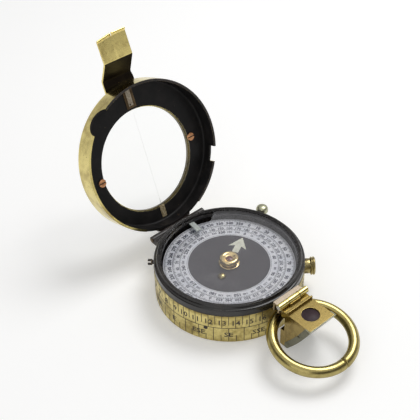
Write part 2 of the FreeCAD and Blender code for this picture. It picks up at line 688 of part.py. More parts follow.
button_head_start = button_base + button_travel + seat_gap

LID_OPEN = FreeCAD.Placement(
    Vector(0, 0, 0), Rotation(Vector(1, 0, 0), -number(lid_open_angle)),
    Vector(0, number(hinge_reach), number(hinge_height)))


def on_lid(name, item):
    """A lid piece is made with the lid shut and then swung open with the rest of the lid."""
    own = item.Placement
    return piece(name, item, LID_OPEN.multiply(own))


def slotted(name, radius, height, shank, depth, width, cut_depth):
    """Slotted screw made along +Z, its head's underside at the origin."""
    head = cylinder(name + "_head", radius, height)
    stem = cylinder(name + "_stem", shank, depth, (0, 0, -depth))
    slot = box(name + "_slot", (-radius, radius), (width / -2, width / 2),
               (height - cut_depth, height + cut_depth))
    return cut(name, fuse(name + "_blank", head, stem), slot)


def rivet(name, length):
    """Domed rivet made along +Z, its head's underside at the origin."""
    dome = (rivet_head * rivet_head + rivet_rise * rivet_rise) / (2 * rivet_rise)
    return turned(name, [
        (0, -length),
        (rivet_radius, -length),
        (rivet_radius, 0),
        (rivet_head, 0, -dome),
        (0, rivet_rise),
    ])


def drum_case():
    wall = turned("drum_turned", [
        (0, 0),
        (drum_radius - foot_round, 0, -foot_round),
        (drum_radius, foot_round),
        (drum_radius, drum_height),
        (bore, drum_height),
        (bore, snap_height + snap_thickness + seat_gap),
        (bore + snap_depth, snap_height + snap_thickness + seat_gap),
        (bore + snap_depth, snap_height),
        (bore, snap_height),
        (bore, floor_top),
        (0, floor_top),
    ])
    through = (bore - drum_wall, drum_radius + drum_wall)
    half = lever_half + seat_gap
    slot = box("lever_slot", through, (-half, half),
               (lever_low - stud_drop, lever_top + slot_rise), about_z(lifter_bearing))
    tools = [slot]
    tools.append(radial_hole("brake_hole", bush_shank_radius, brake_bearing, brake_height))
    tools.append(radial_hole("clamp_hole", clamp_shank + running_gap, clamp_bearing, clamp_height))
    for k, bearing in enumerate(drum_rivet_bearings()):
        tools.append(radial_hole("drum_rivet_hole_%d" % k, rivet_radius, bearing, drum_rivet_height))
    for k, side in enumerate((-1, 1)):
        bearing = -90 + side * bracket_screw_bearing
        tools.append(radial_hole("bracket_hole_%d" % k, small_shank, bearing,
                                 bracket_screw_height))
        tools.append(cylinder("post_hole_%d" % k, small_shank, small_depth,
                              (side * post_screw_ring, 0, floor_top - small_depth)))
    dimple = cylinder("dimple", dimple_radius, dimple_radius * 2)
    put_radial(dimple, dimple_bearing, drum_radius - dimple_radius, dimple_height)
    tools.append(dimple)
    piece("drum_case", cut("drum_case_cut", wall, *tools))


def put_radial(item, bearing, reach, height):
    """Stand a piece made along +Z out from the axis, at a bearing, reach and height."""
    cos_b, sin_b = cosine(bearing), sine(bearing)
    return put(item, (reach * cos_b, reach * sin_b, height), outward(bearing))


def radial_hole(name, radius, bearing, height):
    """Tool that drills the drum's wall from outside."""
    item = cylinder(name, radius, drum_wall * 3)
    return put_radial(item, bearing, bore - drum_wall, height)


def drum_rivet_bearings():
    return [90 - drum_rivet_outer, 90 - drum_rivet_inner,
            90 + drum_rivet_inner, 90 + drum_rivet_outer]


def pivot():
    post = turned("post_turned", [
        (0, floor_top),
        (post_foot_radius, floor_top),
        (post_foot_radius, floor_top + post_foot_height),
        (post_radius, floor_top + post_foot_height),
        (post_radius, post_shoulder),
        (post_top_radius, post_top),
        (point_radius, post_top),
        (point_radius, post_shoulder),
        (0, post_shoulder),
    ])
    holes = []
    screws = []
    for k, side in enumerate((-1, 1)):
        top = floor_top + post_foot_height
        holes.append(cylinder("foot_hole_%d" % k, small_shank, post_foot_height * 2,
                              (side * post_screw_ring, 0, floor_top - post_foot_height / 2)))
        screw = slotted("post_screw_%d" % k, small_head, small_head_height, small_shank,
                        post_foot_height + small_depth, slot_width, slot_depth)
        screws.append(put(screw, (side * post_screw_ring, 0, top)))
    piece("pivot_post", cut("post_drilled", post, *holes))
    piece("post_screws", group("post_screw_pair", *screws))
    piece("pivot_point", turned("point_turned", [
        (0, post_shoulder),
        (point_radius, post_shoulder),
        (point_radius, point_shoulder),
        (point_tip_radius, point_tip),
        (0, point_tip),
    ]))


def card():
    ring_blank = cylinder("dial_ring_blank", card_radius, card_thickness, (0, 0, card_under))
    ring_hole = cylinder("dial_ring_hole", disc_radius, card_thickness * 3,
                         (0, 0, card_under - card_thickness))
    piece("dial_ring", cut("dial_ring_cut", ring_blank, ring_hole))
    disc_blank = cylinder("disc_blank", disc_radius, card_thickness, (0, 0, card_under))
    disc_hole = cylinder("disc_hole", hub_radius, card_thickness * 3,
                         (0, 0, card_under - card_thickness))
    piece("dial_disc", cut("disc_cut", disc_blank, disc_hole))
    jewel_low = cap_head_bottom
    piece("card_cap", turned("cap_turned", [
        (cap_bore_radius, hub_bottom),
        (hub_radius, hub_bottom),
        (hub_radius, card_top),
        (cap_flange_radius, card_top),
        (cap_flange_radius, card_top + cap_flange_height),
        (cap_neck_radius, card_top + cap_flange_height * 2),
        (cap_neck_radius, cap_head_bottom - cap_flange_height),
        (cap_head_radius, cap_head_bottom, -cap_round),
        (cap_neck_radius, cap_top),
        (jewel_radius, cap_top),
        (jewel_radius, jewel_low),
        (cap_bore_radius, jewel_low),
    ]))
    jewel_edge = cap_top - jewel_rise
    dome = (jewel_radius * jewel_radius + 4 * jewel_rise * jewel_rise) / (4 * jewel_rise)
    piece("jewel", turned("jewel_turned", [
        (0, point_tip + running_gap),
        (jewel_cone_radius, jewel_low),
        (jewel_radius, jewel_low),
        (jewel_radius, jewel_edge, -dome),
        (0, cap_top + jewel_rise),
    ]))
    bar = padded("needle_bar", "XY_Plane", [
        (-needle_half_length, -needle_tip_width),
        (-needle_eye_radius, -needle_half_width),
        (needle_eye_radius, -needle_half_width),
        (needle_half_length, -needle_tip_width),
        (needle_half_length, needle_tip_width),
        (needle_eye_radius, needle_half_width),
        (-needle_eye_radius, needle_half_width),
        (-needle_half_length, needle_tip_width),
    ], needle_thickness, both_sides=False)
    put(bar, (0, 0, card_under - needle_thickness))
    eye = cylinder("needle_eye", needle_eye_radius, needle_thickness,
                   (0, 0, card_under - needle_thickness))
    eye_hole = cylinder("needle_hole", hub_radius, needle_thickness * 3,
                        (0, 0, card_under - 2 * needle_thickness))
    needle = cut("needle_cut", fuse("needle_blank", bar, eye), eye_hole)
    piece("magnet_needle", needle, FreeCAD.Placement(Vector(), about_z(north_bearing)))
    arrow = padded("arrow_pad", "XY_Plane", [
        (arrow_tip, 0),
        (arrow_wing, arrow_wing_half),
        (arrow_notch, arrow_tail_half),
        (arrow_tail, arrow_tail_half),
        (arrow_tail, -arrow_tail_half),
        (arrow_notch, -arrow_tail_half),
        (arrow_wing, -arrow_wing_half),
    ], arrow_thickness, both_sides=False)
    put(arrow, (0, 0, card_top), about_z(north_bearing))
    piece("north_arrow", arrow)
    weight_dome = (weight_radius * weight_radius + weight_height * weight_height) / (
        2 * weight_height)
    weight = turned("weight_turned", [
        (0, 0),
        (weight_radius, 0, -weight_dome),
        (0, weight_height),
    ])
    opposite = north_bearing + 180
    put(weight, (weight_ring * cosine(opposite), weight_ring * sine(opposite), card_top))
    piece("balance_weight", weight)


def bezel():
    groove_floor = bore - snap_reach - seat_gap
    piece("bezel_ring", turned("bezel_turned", [
        (spigot_inner, spigot_bottom),
        (spigot_outer, spigot_bottom),
        (spigot_outer, snap_height - seat_gap),
        (groove_floor, snap_height - seat_gap),
        (groove_floor, snap_height + snap_thickness + seat_gap),
        (spigot_outer, snap_height + snap_thickness + seat_gap),
        (spigot_outer, drum_height + running_gap),
        (bezel_radius, drum_height + running_gap),
        (bezel_radius, bezel_band_top, -bezel_edge),
        (bezel_radius - bezel_edge, bezel_band_top + bezel_edge, cove_radius),
        (lip_radius, lip_low),
        (lip_radius, lip_top),
        (lip_inner, lip_top),
        (lip_inner, shelf_top),
        (shelf_radius, shelf_top),
        (shelf_radius, shelf_top - shelf_height),
        (spigot_inner, shelf_top - shelf_height),
    ]))
    piece("bezel_glass", cylinder("glass_disc", lip_inner, glass_thickness, (0, 0, shelf_top)))
    glass_top = shelf_top + glass_thickness
    start = index_bearing + 180
    outer = sector("retainer_outer", lip_inner, retainer_height, glass_top,
                   360 - retainer_opening, start)
    inner = cylinder("retainer_inner", lip_inner - retainer_width, retainer_height * 3,
                     (0, 0, glass_top - retainer_height))
    piece("glass_retainer", cut("retainer_cut", outer, inner))
    snap_outer = sector("snap_outer", bore + snap_depth, snap_thickness, snap_height,
                        360 - snap_opening, clamp_bearing + snap_opening / 2)
    snap_inner = cylinder("snap_inner", bore - snap_reach, snap_thickness * 3,
                          (0, 0, snap_height - snap_thickness))
    piece("bezel_snap_ring", cut("snap_cut", snap_outer, snap_inner))
    shelf_under = shelf_top - shelf_height
    index = box("index_plate", (index_inner, shelf_radius + index_seat),
                (-index_half, index_half), (shelf_under - index_thickness, shelf_under),
                about_z(index_bearing))
    piece("index_strip", index)


def lifter():
    turn = FreeCAD.Placement(Vector(), about_z(lifter_bearing))
    fork_inner = post_radius + fork_gap - (lever_low - post_shoulder) * (
        post_radius - post_top_radius) / (post_top - post_shoulder)
    fork_outer = fork_inner + fork_arm
    plan = padded("lever_plan", "XY_Plane", [
        (-fork_reach, -fork_outer),
        (fork_root, -fork_outer),
        (fork_root + fork_outer, -lever_half),
        (stud_ring, -lever_half),
        (stud_ring, lever_half),
        (fork_root + fork_outer, lever_half),
        (fork_root, fork_outer),
        (-fork_reach, fork_outer),
    ], lever_thickness, both_sides=False)
    put(plan, (0, 0, lever_low))
    slot_end = fork_root - fork_inner
    slot_span = (lever_low - lever_thickness, lever_low + 2 * lever_thickness)
    slot = box("fork_slot", (-2 * fork_reach, slot_end), (-fork_inner, fork_inner), slot_span)
    slot_round = cylinder("fork_slot_end", fork_inner, slot_span[1] - slot_span[0],
                          (slot_end, 0, slot_span[0]))
    end = cylinder("lever_end_disc", lever_end, lever_thickness, (stud_ring, 0, lever_low))
    boss = box("lever_boss", (lever_pivot - boss_half, lever_pivot + boss_half),
               (-lever_half, lever_half), (lever_low - boss_drop, lever_low))
    pin_hole = cylinder("lever_pin_hole", lever_pin_radius + running_gap, lever_half * 4,
                        (lever_pivot, lever_half * -2, pin_height), ALONG_Y)
    stud_hole = cylinder("stud_hole", stud_post_radius / 2, lever_thickness * 3,
                         (stud_ring, 0, lever_low - lever_thickness))
    lever = cut("lever_cut", fuse("lever_blank", plan, end, boss), fuse("fork_cut", slot, slot_round),
                pin_hole, stud_hole)
    piece("lifter_lever", lever, turn)

    cheek = lever_half + seat_gap
    x_span = (lever_pivot - block_half, lever_pivot + block_half)
    blank = box("block_blank", x_span, (-cheek - block_wall, cheek + block_wall),
                (floor_top, pin_height + block_rise))
    gap = box("block_gap", (x_span[0] - block_half, x_span[1] + block_half), (-cheek, cheek),
              (floor_top + block_foot, pin_height + block_rise * 2))
    block_hole = cylinder("block_pin_hole", lever_pin_radius, (cheek + block_wall) * 3,
                          (lever_pivot, (cheek + block_wall) * -1.5, pin_height), ALONG_Y)
    piece("lifter_block", cut("block_cut", blank, gap, block_hole), turn)
    pin = cylinder("lever_pin", lever_pin_radius, (cheek + block_wall) * 2,
                   (lever_pivot, -cheek - block_wall, pin_height), ALONG_Y)
    piece("lifter_pin", group("lever_pin_whole", pin), turn)

    dome_rise = stud_top - stud_head_low - stud_head_edge
    dome = (stud_head_radius * stud_head_radius + dome_rise * dome_rise) / (2 * dome_rise)
    stud = turned("stud_turned", [
        (0, lever_low),
        (stud_post_radius / 2, lever_low),
        (stud_post_radius / 2, lever_top),
        (stud_post_radius, lever_top),
        (stud_post_radius, stud_head_low),
        (stud_head_radius, stud_head_low),
        (stud_head_radius, stud_head_low + stud_head_edge, -dome),
        (0, stud_top),
    ])
    put(stud, (stud_ring * cosine(lifter_bearing), stud_ring * sine(lifter_bearing), 0))
    piece("lifter_stud", stud)

    tip = floor_top + spring_lift
    spring = padded("spring_pad", "XZ_Plane", [
        (spring_start, lever_low),
        (spring_start, lever_low - spring_sheet),
        (spring_bend, lever_low - spring_sheet),
        (spring_end, tip),
        (spring_end + spring_sheet, tip),
        (spring_bend + spring_sheet, lever_low),
    ], spring_half * 2)
    piece("lifter_spring", spring, turn)


def brake():
    collar = cylinder("bush_collar", bush_radius, bush_length + drum_wall / 4)
    put_radial(collar, brake_bearing, drum_radius - drum_wall / 4, brake_height)
    seated = cut("bush_seated", collar, cylinder("bush_seat", drum_radius, drum_height))
    shank = cylinder("bush_shank", bush_shank_radius, drum_wall + bush_length / 2)
    put_radial(shank, brake_bearing, bore, brake_height)
    bush_bore = cylinder("bush_bore", plunger_radius + running_gap, bush_length * 4)
    put_radial(bush_bore, brake_bearing, bore - bush_length, brake_height)
    trim = cut("shank_trimmed", shank, cylinder("shank_seat", bore, drum_height))
    piece("brake_bush", cut("bush_cut", fuse("bush_blank", seated, trim), bush_bore))

    tip = arm_outer + running_gap
    neck_end = button_head_start + button_neck
    head_end = neck_end + button_head
    button = turned("button_turned", [
        (0, tip),
        (plunger_tip_radius, tip),
        (plunger_radius, tip + plunger_radius),
        (plunger_radius, button_head_start),
        (button_neck_radius, button_head_start),
        (button_neck_radius, neck_end),
        (button_head_radius, neck_end),
        (button_head_radius, head_end - button_round, -button_round),
        (button_head_radius - button_round, head_end),
        (0, head_end),
    ])
    put(button, (0, 0, brake_height), outward(brake_bearing))
    piece("brake_button", button)

    post_at = (arm_post_ring * cosine(arm_bearing), arm_post_ring * sine(arm_bearing))
    arm_low = brake_height - arm_half_height
    arm_high = brake_height + arm_half_height
    post_height = arm_high + seat_gap - floor_top
    post = cylinder("arm_post", arm_post_radius, post_height, (post_at[0], post_at[1], floor_top))
    piece("brake_pivot_post", post)

    eye = cylinder("arm_eye", arm_eye_radius, arm_half_height * 2, (post_at[0], post_at[1], arm_low))
    span = brake_bearing - arm_bearing
    strip_out = sector("arm_strip_outer", arm_outer, arm_half_height * 2, arm_low, span,
                       arm_bearing)
    strip_in = cylinder("arm_strip_inner", arm_outer - arm_strip, arm_half_height * 4,
                        (0, 0, arm_low - arm_half_height))
    strip = cut("arm_strip_cut", strip_out, strip_in)
    turn = about_z(brake_bearing)
    pad_low = box("pad_low", (pad_inner, arm_outer), (-pad_half, pad_half),
                  (arm_low, arm_high), turn)
    pad_high = box("pad_high", (pad_inner, pad_upper_outer), (-pad_half, pad_half),
                   (arm_low, pad_top), turn)
    limit = cylinder("arm_limit", arm_outer, drum_height)
    arm_blank = common("arm_trimmed", fuse("arm_blank", eye, strip, pad_low, pad_high), limit)
    arm_hole = cylinder("arm_hole", arm_post_radius + running_gap, arm_half_height * 4,
                        (post_at[0], post_at[1], arm_low - arm_half_height))
    piece("brake_arm", cut("arm_cut", arm_blank, arm_hole))


def clamp():
    start = drum_radius + clamp_standoff
    shank = cylinder("clamp_shank_rod", clamp_shank, start - bore)
    put(shank, (0, 0, bore - start))
    head = cylinder("clamp_head_disc", clamp_head, clamp_head_length)
    slot = box("clamp_slot", (-clamp_head, clamp_head), (slot_width / -2, slot_width / 2),
               (clamp_head_length - slot_depth * 2, clamp_head_length + slot_depth))
    screw = cut("clamp_cut", fuse("clamp_blank", shank, head), slot)
    put_radial(screw, clamp_bearing, start, clamp_height)
    piece("clamp_screw", screw)


def lid_shell():
    shell = turned("lid_turned", [
        (lid_bore, lid_low),
        (lid_radius, lid_low),
        (lid_radius, lid_top - lid_shoulder, -lid_shoulder),
        (lid_radius - lid_shoulder, lid_top),
        (0, lid_top),
        (0, lid_inner),
        (lid_bore - lid_fillet, lid_inner, lid_fillet),
        (lid_bore, lid_inner - lid_fillet),
    ])
    y = window_offset
    window = cylinder("window_bore", window_radius, lid_plate * 3, (0, y, lid_inner - lid_plate))
    seat = cylinder("window_seat", lid_glass_radius, lid_glass_thickness + lid_plate,
                    (0, y, lid_inner - lid_plate))
    bevel = cone("window_bevel_cone", window_radius, window_radius + 2 * window_bevel,
                 2 * window_bevel, (0, y, lid_top - window_bevel))
    notch_top = stud_top - stud_drop + running_gap
    reach = (lid_bore - lid_wall, lid_radius + lid_wall)
    notch = box("stud_notch", reach, (-notch_half, notch_half), (lid_low - lid_wall, notch_top),
                about_z(lifter_bearing))
    thumb = cylinder("thumb_notch", thumb_radius, lid_wall * 5)
    put_radial(thumb, thumb_bearing, lid_bore - 2 * lid_wall, lid_low - thumb_drop)
    relief = box("hinge_relief_cut", (-hinge_relief_half, hinge_relief_half),
                 (lid_bore / 2, lid_radius + lid_wall), (lid_low - lid_wall, lid_low + hinge_relief))
    tools = [window, seat, bevel, notch, thumb, relief]
    for k, side in enumerate((-1, 1)):
        tools.append(cylinder("lid_screw_hole_%d" % k, lid_screw_shank, lid_screw_depth + lid_wall,
                              (side * lid_screw_ring, y, lid_inner - lid_wall)))
        tools.append(cylinder("tongue_rivet_hole_%d" % k, rivet_radius, rivet_bite + lid_wall,
                              (side * tongue_rivet_half, -tongue_rivet_ring,
                               lid_top - rivet_bite)))
        hole = cylinder("lid_rivet_hole_%d" % k, rivet_radius, lid_wall * 4)
        put_radial(hole, 90 + side * lid_rivet_bearing, lid_bore - lid_wall, lid_rivet_height)
        tools.append(hole)
    on_lid("lid_shell", cut("lid_cut", shell, *tools))


def lid_fittings():
    y = window_offset
    glass = cylinder("window_glass", lid_glass_radius, lid_glass_thickness, (0, y, lid_inner))
    on_lid("lid_glass", group("window_glass_whole", glass))
    screws = []
    for k, side in enumerate((-1, 1)):
        screw = slotted("lid_screw_%d" % k, lid_screw_head, lid_screw_height, lid_screw_shank,
                        lid_screw_depth, lid_slot_width, slot_depth)
        put(screw, (side * lid_screw_ring, y, lid_inner), Rotation(Vector(1, 0, 0), 180))
        screws.append(screw)
    on_lid("lid_screws", group("lid_screw_pair", *screws))

    strip_low = lid_inner - strip_thickness
    frame_blank = box("upper_frame_blank", (-upper_frame_half, upper_frame_half),
                      (-upper_frame_far, -upper_frame_near), (strip_low, lid_inner))
    strip_from = upper_frame_cap - upper_frame_far
    strip_to = -upper_frame_near - upper_frame_end
    frame_window = box("upper_frame_window", (-upper_strip_half, upper_strip_half),
                       (strip_from, strip_to), (strip_low - strip_thickness, lid_inner + lid_wall))
    wire_height = lid_inner - hairline_radius
    wire_room = hairline_radius + running_gap
    wire_slot = box("wire_slot", (-wire_room, wire_room),
                    (strip_to - upper_frame_end / 2, upper_frame_end - upper_frame_near),
                    (wire_height - wire_room, lid_inner + lid_wall))
    on_lid("upper_strip_frame", cut("upper_frame_cut", frame_blank, frame_window, wire_slot))
    strip = box("upper_strip_plate", (-upper_strip_half, upper_strip_half),
                (strip_from, strip_to), (strip_low, lid_inner))
    on_lid("upper_strip", group("upper_strip_whole", strip))
    lower = box("lower_strip_plate", (-lower_strip_half, lower_strip_half),
                (lower_strip_near, lower_strip_far), (strip_low, lid_inner))
    on_lid("lower_strip", group("lower_strip_whole", lower))
    wire = cylinder("hairline_wire", hairline_radius, lower_strip_near - strip_to,
                    (0, strip_to, wire_height), ALONG_Y)
    on_lid("lid_hairline", group("hairline_whole", wire))


def lid_tongue():
    half_tan = sine(tongue_slope) / (1 + cosine(tongue_slope))
    drop = tongue_run * sine(tongue_slope) / cosine(tongue_slope)
    lead = tongue_sheet * half_tan
    second = tongue_bend + tongue_run
    low = lid_top - drop
    side_view = padded("tongue_side", "YZ_Plane", [
        (-tongue_root, lid_top),
        (-tongue_root, lid_top + tongue_sheet),
        (-tongue_bend - lead, lid_top + tongue_sheet),
        (-second - lead, low + tongue_sheet),
        (-tongue_reach, low + tongue_sheet),
        (-tongue_reach, low - tongue_lip),
        (tongue_sheet - tongue_reach, low - tongue_lip),
        (tongue_sheet - tongue_reach, low),
        (-second, low),
        (-tongue_bend, lid_top),
    ], tongue_root_half * 2)
    flare_end = tongue_bend + tongue_flare / 2
    flare = tongue_flare + (tongue_root_half - tongue_half)
    plan = padded("tongue_plan", "XY_Plane", [
        (-tongue_root_half, -tongue_root),
        (-tongue_root_half, tongue_flare - tongue_bend, flare),
        (-tongue_half, -flare_end),
        (-tongue_half, -tongue_reach),
        (-tongue_slot_half, -tongue_reach),
        (-tongue_slot_half, tongue_slot_depth - tongue_reach),
        (tongue_slot_half, tongue_slot_depth - tongue_reach),
        (tongue_slot_half, -tongue_reach),
        (tongue_half, -tongue_reach),
        (tongue_half, -flare_end, flare),
        (tongue_root_half, tongue_flare - tongue_bend),
        (tongue_root_half, -tongue_root),
    ], lid_top * 3)
    sheet_metal = common("tongue_bent", side_view, plan)
    holes = []
    rivets = []
    for k, side in enumerate((-1, 1)):
        at = (side * tongue_rivet_half, -tongue_rivet_ring, lid_top)
        holes.append(cylinder("tongue_hole_%d" % k, rivet_radius, tongue_sheet * 3,
                              (at[0], at[1], lid_top - tongue_sheet)))
        one = rivet("tongue_rivet_%d" % k, tongue_sheet + rivet_bite)
        rivets.append(put(one, (at[0], at[1], lid_top + tongue_sheet)))
    on_lid("lid_tongue", cut("tongue_drilled", sheet_metal, *holes))
    on_lid("tongue_rivets", group("tongue_rivet_pair", *rivets))


def shell_band(name, inner, sheet_size, low, high, half, towards_hinge=True):
    """Piece of a curved plate that hugs the drum or the lid, half is its half width."""
    outer = cylinder(name + "_outer", inner + sheet_size, high - low, (0, 0, low))
    hollow = cylinder(name + "_hollow", inner, (high - low) * 3, (0, 0, low - (high - low)))
    band = cut(name + "_band", outer, hollow)
    y_span = (inner / 2, inner + 2 * sheet_size)
    if not towards_hinge:
        y_span = (-y_span[1], -y_span[0])
    window = box(name + "_window", (-half, half), y_span, (low, high))
    return common(name, band, window)


def hinge_barrel(name, x_from, x_to, radius, reach, height):
    return cylinder(name, radius, x_to - x_from, (x_from, reach, height), ALONG_X)


def lid_hinge():
    y = hinge_reach
    z = hinge_height
    gap_from = knuckle_half + knuckle_gap
    web_root = root(drum_radius * drum_radius - hinge_half * hinge_half) + leaf_sheet / 2
    plate = shell_band("drum_leaf_plate", drum_radius, leaf_sheet, drum_leaf_low, drum_leaf_top,
                       hinge_half)
    parts = [plate]
    for k, span in enumerate(((-hinge_half, -gap_from), (gap_from, hinge_half))):
        parts.append(hinge_barrel("drum_knuckle_%d" % k, span[0], span[1], barrel_radius, y, z))
        parts.append(box("drum_web_%d" % k, span, (web_root, y), (z - web_drop, z + web_rise)))
    blank = fuse("drum_leaf_blank", *parts)
    tools = [cylinder("drum_leaf_seat", drum_radius, drum_height * 2),
             hinge_barrel("drum_leaf_pin_hole", -2 * hinge_half, 2 * hinge_half,
                          hinge_pin_radius, y, z),
             hinge_barrel("drum_leaf_room", -gap_from, gap_from, barrel_radius + seat_gap, y, z)]
    rivets = []
    for k, bearing in enumerate(drum_rivet_bearings()):
        tools.append(radial_hole("drum_leaf_hole_%d" % k, rivet_radius, bearing,
                                 drum_rivet_height))
        one = rivet("drum_rivet_%d" % k, leaf_sheet + drum_wall)
        rivets.append(put_radial(one, bearing, drum_radius + leaf_sheet, drum_rivet_height))
    piece("drum_hinge_leaf", cut("drum_leaf_cut", blank, *tools))
    piece("drum_leaf_rivets", group("drum_rivet_set", *rivets))

    rod = hinge_barrel("hinge_rod", -hinge_half, hinge_half, hinge_pin_radius, y, z)
    ends = []
    for k, at in enumerate((-hinge_half - pin_head, hinge_half)):
        ends.append(hinge_barrel("hinge_pin_head_%d" % k, at, at + pin_head, pin_head_radius, y, z))
    piece("lid_hinge_pin", fuse("hinge_pin_whole", rod, *ends))

    leaf_low = lid_low + hinge_relief
    lid_plate_part = shell_band("lid_leaf_plate", lid_radius, leaf_sheet, leaf_low, lid_leaf_top,
                                lid_leaf_half)
    arm = shell_band("lid_leaf_arm", lid_radius, leaf_sheet, z, leaf_low + leaf_sheet,
                     knuckle_half)
    barrel = hinge_barrel("lid_knuckle", -knuckle_half, knuckle_half, barrel_radius, y, z)
    pin_hole = hinge_barrel("lid_knuckle_hole", -2 * hinge_half, 2 * hinge_half,
                            hinge_pin_radius + running_gap, y, z)
    tools = [pin_hole]
    rivets = []
    for k, side in enumerate((-1, 1)):
        bearing = 90 + side * lid_rivet_bearing
        hole = cylinder("lid_leaf_hole_%d" % k, rivet_radius, lid_wall * 4)
        tools.append(put_radial(hole, bearing, lid_bore - lid_wall, lid_rivet_height))
        one = rivet("lid_rivet_%d" % k, leaf_sheet + lid_wall)
        rivets.append(put_radial(one, bearing, lid_radius + leaf_sheet, lid_rivet_height))
    leaf = cut("lid_leaf_cut", fuse("lid_leaf_blank", lid_plate_part, arm, barrel), *tools)
    on_lid("lid_hinge_leaf", leaf)
    on_lid("lid_leaf_rivets", group("lid_rivet_pair", *rivets))


def prism_bracket():
    y = -prism_axis_reach
    z = prism_axis_height
    base = shell_band("bracket_base", drum_radius, bracket_sheet, bracket_low,
                      bracket_top_of_base, bracket_half, towards_hinge=False)
    hood = padded("bracket_hood", "YZ_Plane", [
        (-hood_inner, hood_low),
        (-hood_inner, hood_top),
        (-hood_outer, hood_top),
        (-hood_outer, hood_low),
        (bracket_sheet - hood_outer, hood_low),
        (bracket_sheet - hood_outer, hood_top - bracket_sheet),
        (-hood_inner - bracket_sheet, hood_top - bracket_sheet),
        (-hood_inner - bracket_sheet, hood_low),
    ], bracket_half * 2)
    lug_bore = ring_wire + lug_play
    lug = cylinder("lug_blank", lug_bore + lug_wall, lug_half * 2,
                   (-lug_half, -lug_reach, lug_height), ALONG_X)
    across_lug = (-lug_half, lug_half)
    neck = box("lug_neck", across_lug, (-hood_outer, -hood_inner),
               (lug_height, hood_low + bracket_sheet))
    foot = box("lug_foot", across_lug, (-lug_reach, bracket_sheet - drum_radius),
               (bracket_top_of_base - bracket_sheet, bracket_top_of_base))
    parts = [base, hood, lug, neck, foot]
    spans = ((-prism_hinge_half, -prism_knuckle_left - knuckle_gap / 2),
             (prism_knuckle_right + knuckle_gap / 2, prism_hinge_half))
    for k, span in enumerate(spans):
        parts.append(cylinder("bracket_knuckle_%d" % k, prism_barrel, span[1] - span[0],
                              (span[0], y, z), ALONG_X))
    gap = cylinder("knuckle_room", prism_barrel + seat_gap, spans[1][0] - spans[0][1],
                   (spans[0][1], y, z), ALONG_X)
    bore_half = lug_half * 2
    bore_start = (-bore_half * cosine(ring_yaw), -lug_reach - bore_half * sine(ring_yaw),
                  lug_height)
    bore_tool = cylinder("lug_bore_tool", lug_bore, bore_half * 2, bore_start,
                         outward(ring_yaw))
    pin_tool = cylinder("bracket_pin_hole", prism_pin_radius, prism_hinge_half * 4,
                        (-2 * prism_hinge_half, y, z), ALONG_X)
    seat = cylinder("bracket_seat", drum_radius, drum_height)
    rim_room = cylinder("bracket_rim_room", lid_radius + seat_gap, drum_height,
                        (0, 0, lid_low - seat_gap))
    tools = [gap, bore_tool, pin_tool, seat, rim_room]
    screws = []
    for k, side in enumerate((-1, 1)):
        bearing = -90 + side * bracket_screw_bearing
        tools.append(radial_hole("bracket_screw_hole_%d" % k, small_shank, bearing,
                                 bracket_screw_height))
        screw = slotted("bracket_screw_%d" % k, small_head, small_head_height, small_shank,
                        bracket_sheet + drum_wall, slot_width, slot_depth)
        screws.append(put_radial(screw, bearing, drum_radius + bracket_sheet,
                                 bracket_screw_height))
    piece("prism_bracket", cut("bracket_cut", fuse("bracket_blank", *parts), *tools))
    piece("bracket_screws", group("bracket_screw_pair", *screws))
    rod = cylinder("prism_pin_rod", prism_pin_radius, prism_hinge_half * 2,
                   (-prism_hinge_half, y, z), ALONG_X)
    ends = []
    for k, at in enumerate((-prism_hinge_half - pin_head, prism_hinge_half)):
        ends.append(cylinder("prism_pin_head_%d" % k, pin_head_radius, pin_head, (at, y, z),
                             ALONG_X))
    piece("prism_hinge_pin", fuse("prism_pin_whole", rod, *ends))


def prism_leaf():
    y = -prism_axis_reach
    z = prism_axis_height
    front = -leaf_back - leaf_plate
    inner = leaf_depth - leaf_back
    whole = (-leaf_half, leaf_half)
    parts = [
        box("leaf_plate_blank", whole, (front, -leaf_back), (leaf_low, leaf_top)),
        box("leaf_block", whole, (-leaf_back, inner), (leaf_block_low, leaf_top)),
        box("leaf_rail_left", (-leaf_half, -rail_inner), (-leaf_back, inner),
            (leaf_low, rail_top)),
        box("leaf_rail_right", (rail_inner, leaf_half), (-leaf_back, inner),
            (leaf_low, rail_top)),
        cylinder("leaf_knuckle", prism_barrel, prism_knuckle_left + prism_knuckle_right
                 - knuckle_gap, (knuckle_gap / 2 - prism_knuckle_left, y, z), ALONG_X),
        box("leaf_arm_blank", (knuckle_gap / 2 - prism_knuckle_left,
                               prism_knuckle_right - knuckle_gap / 2),
            (y - leaf_arm, y), (leaf_block_low + leaf_arm, z)),
    ]
    room = cylinder("leaf_room", prism_barrel + seat_gap, prism_hinge_half * 2,
                    (-prism_hinge_half, y, z), ALONG_X)
    plate_blank = cut("leaf_body", fuse("leaf_flat", *parts[:4]), room)
    pin_hole = cylinder("leaf_pin_hole", prism_pin_radius + focus_gap, prism_hinge_half * 4,
                        (-2 * prism_hinge_half, y, z), ALONG_X)
    slot = box("leaf_slot", (-leaf_slot_half, leaf_slot_half),
               (front - leaf_plate, leaf_plate - leaf_back), (leaf_slot_low, leaf_slot_top))
    blank = fuse("leaf_blank", plate_blank, parts[4], parts[5])
    piece("prism_leaf", cut("leaf_cut", blank, pin_hole, slot))


def case_arc():
    """Centre and radius of the case's slanted side, an arc through its two ends."""
    far = (-case_reach, case_top)
    near = (-leaf_back - leaf_plate - case_foot, case_low)
    run = near[0] - far[0]
    fall = far[1] - near[1]
    chord = root(run * run + fall * fall)
    radius = chord * chord / (8 * case_bulge) + case_bulge / 2
    back = radius - case_bulge
    centre_y = (far[0] + near[0]) / 2 + back * fall / chord
    centre_z = (far[1] + near[1]) / 2 + back * run / chord
    return centre_y, centre_z, radius


def across(name, radius, half, at):
    """Cylinder along X, half is its half length."""
    return cylinder(name, radius, half * 2, (-half, at[0], at[1]), ALONG_X)


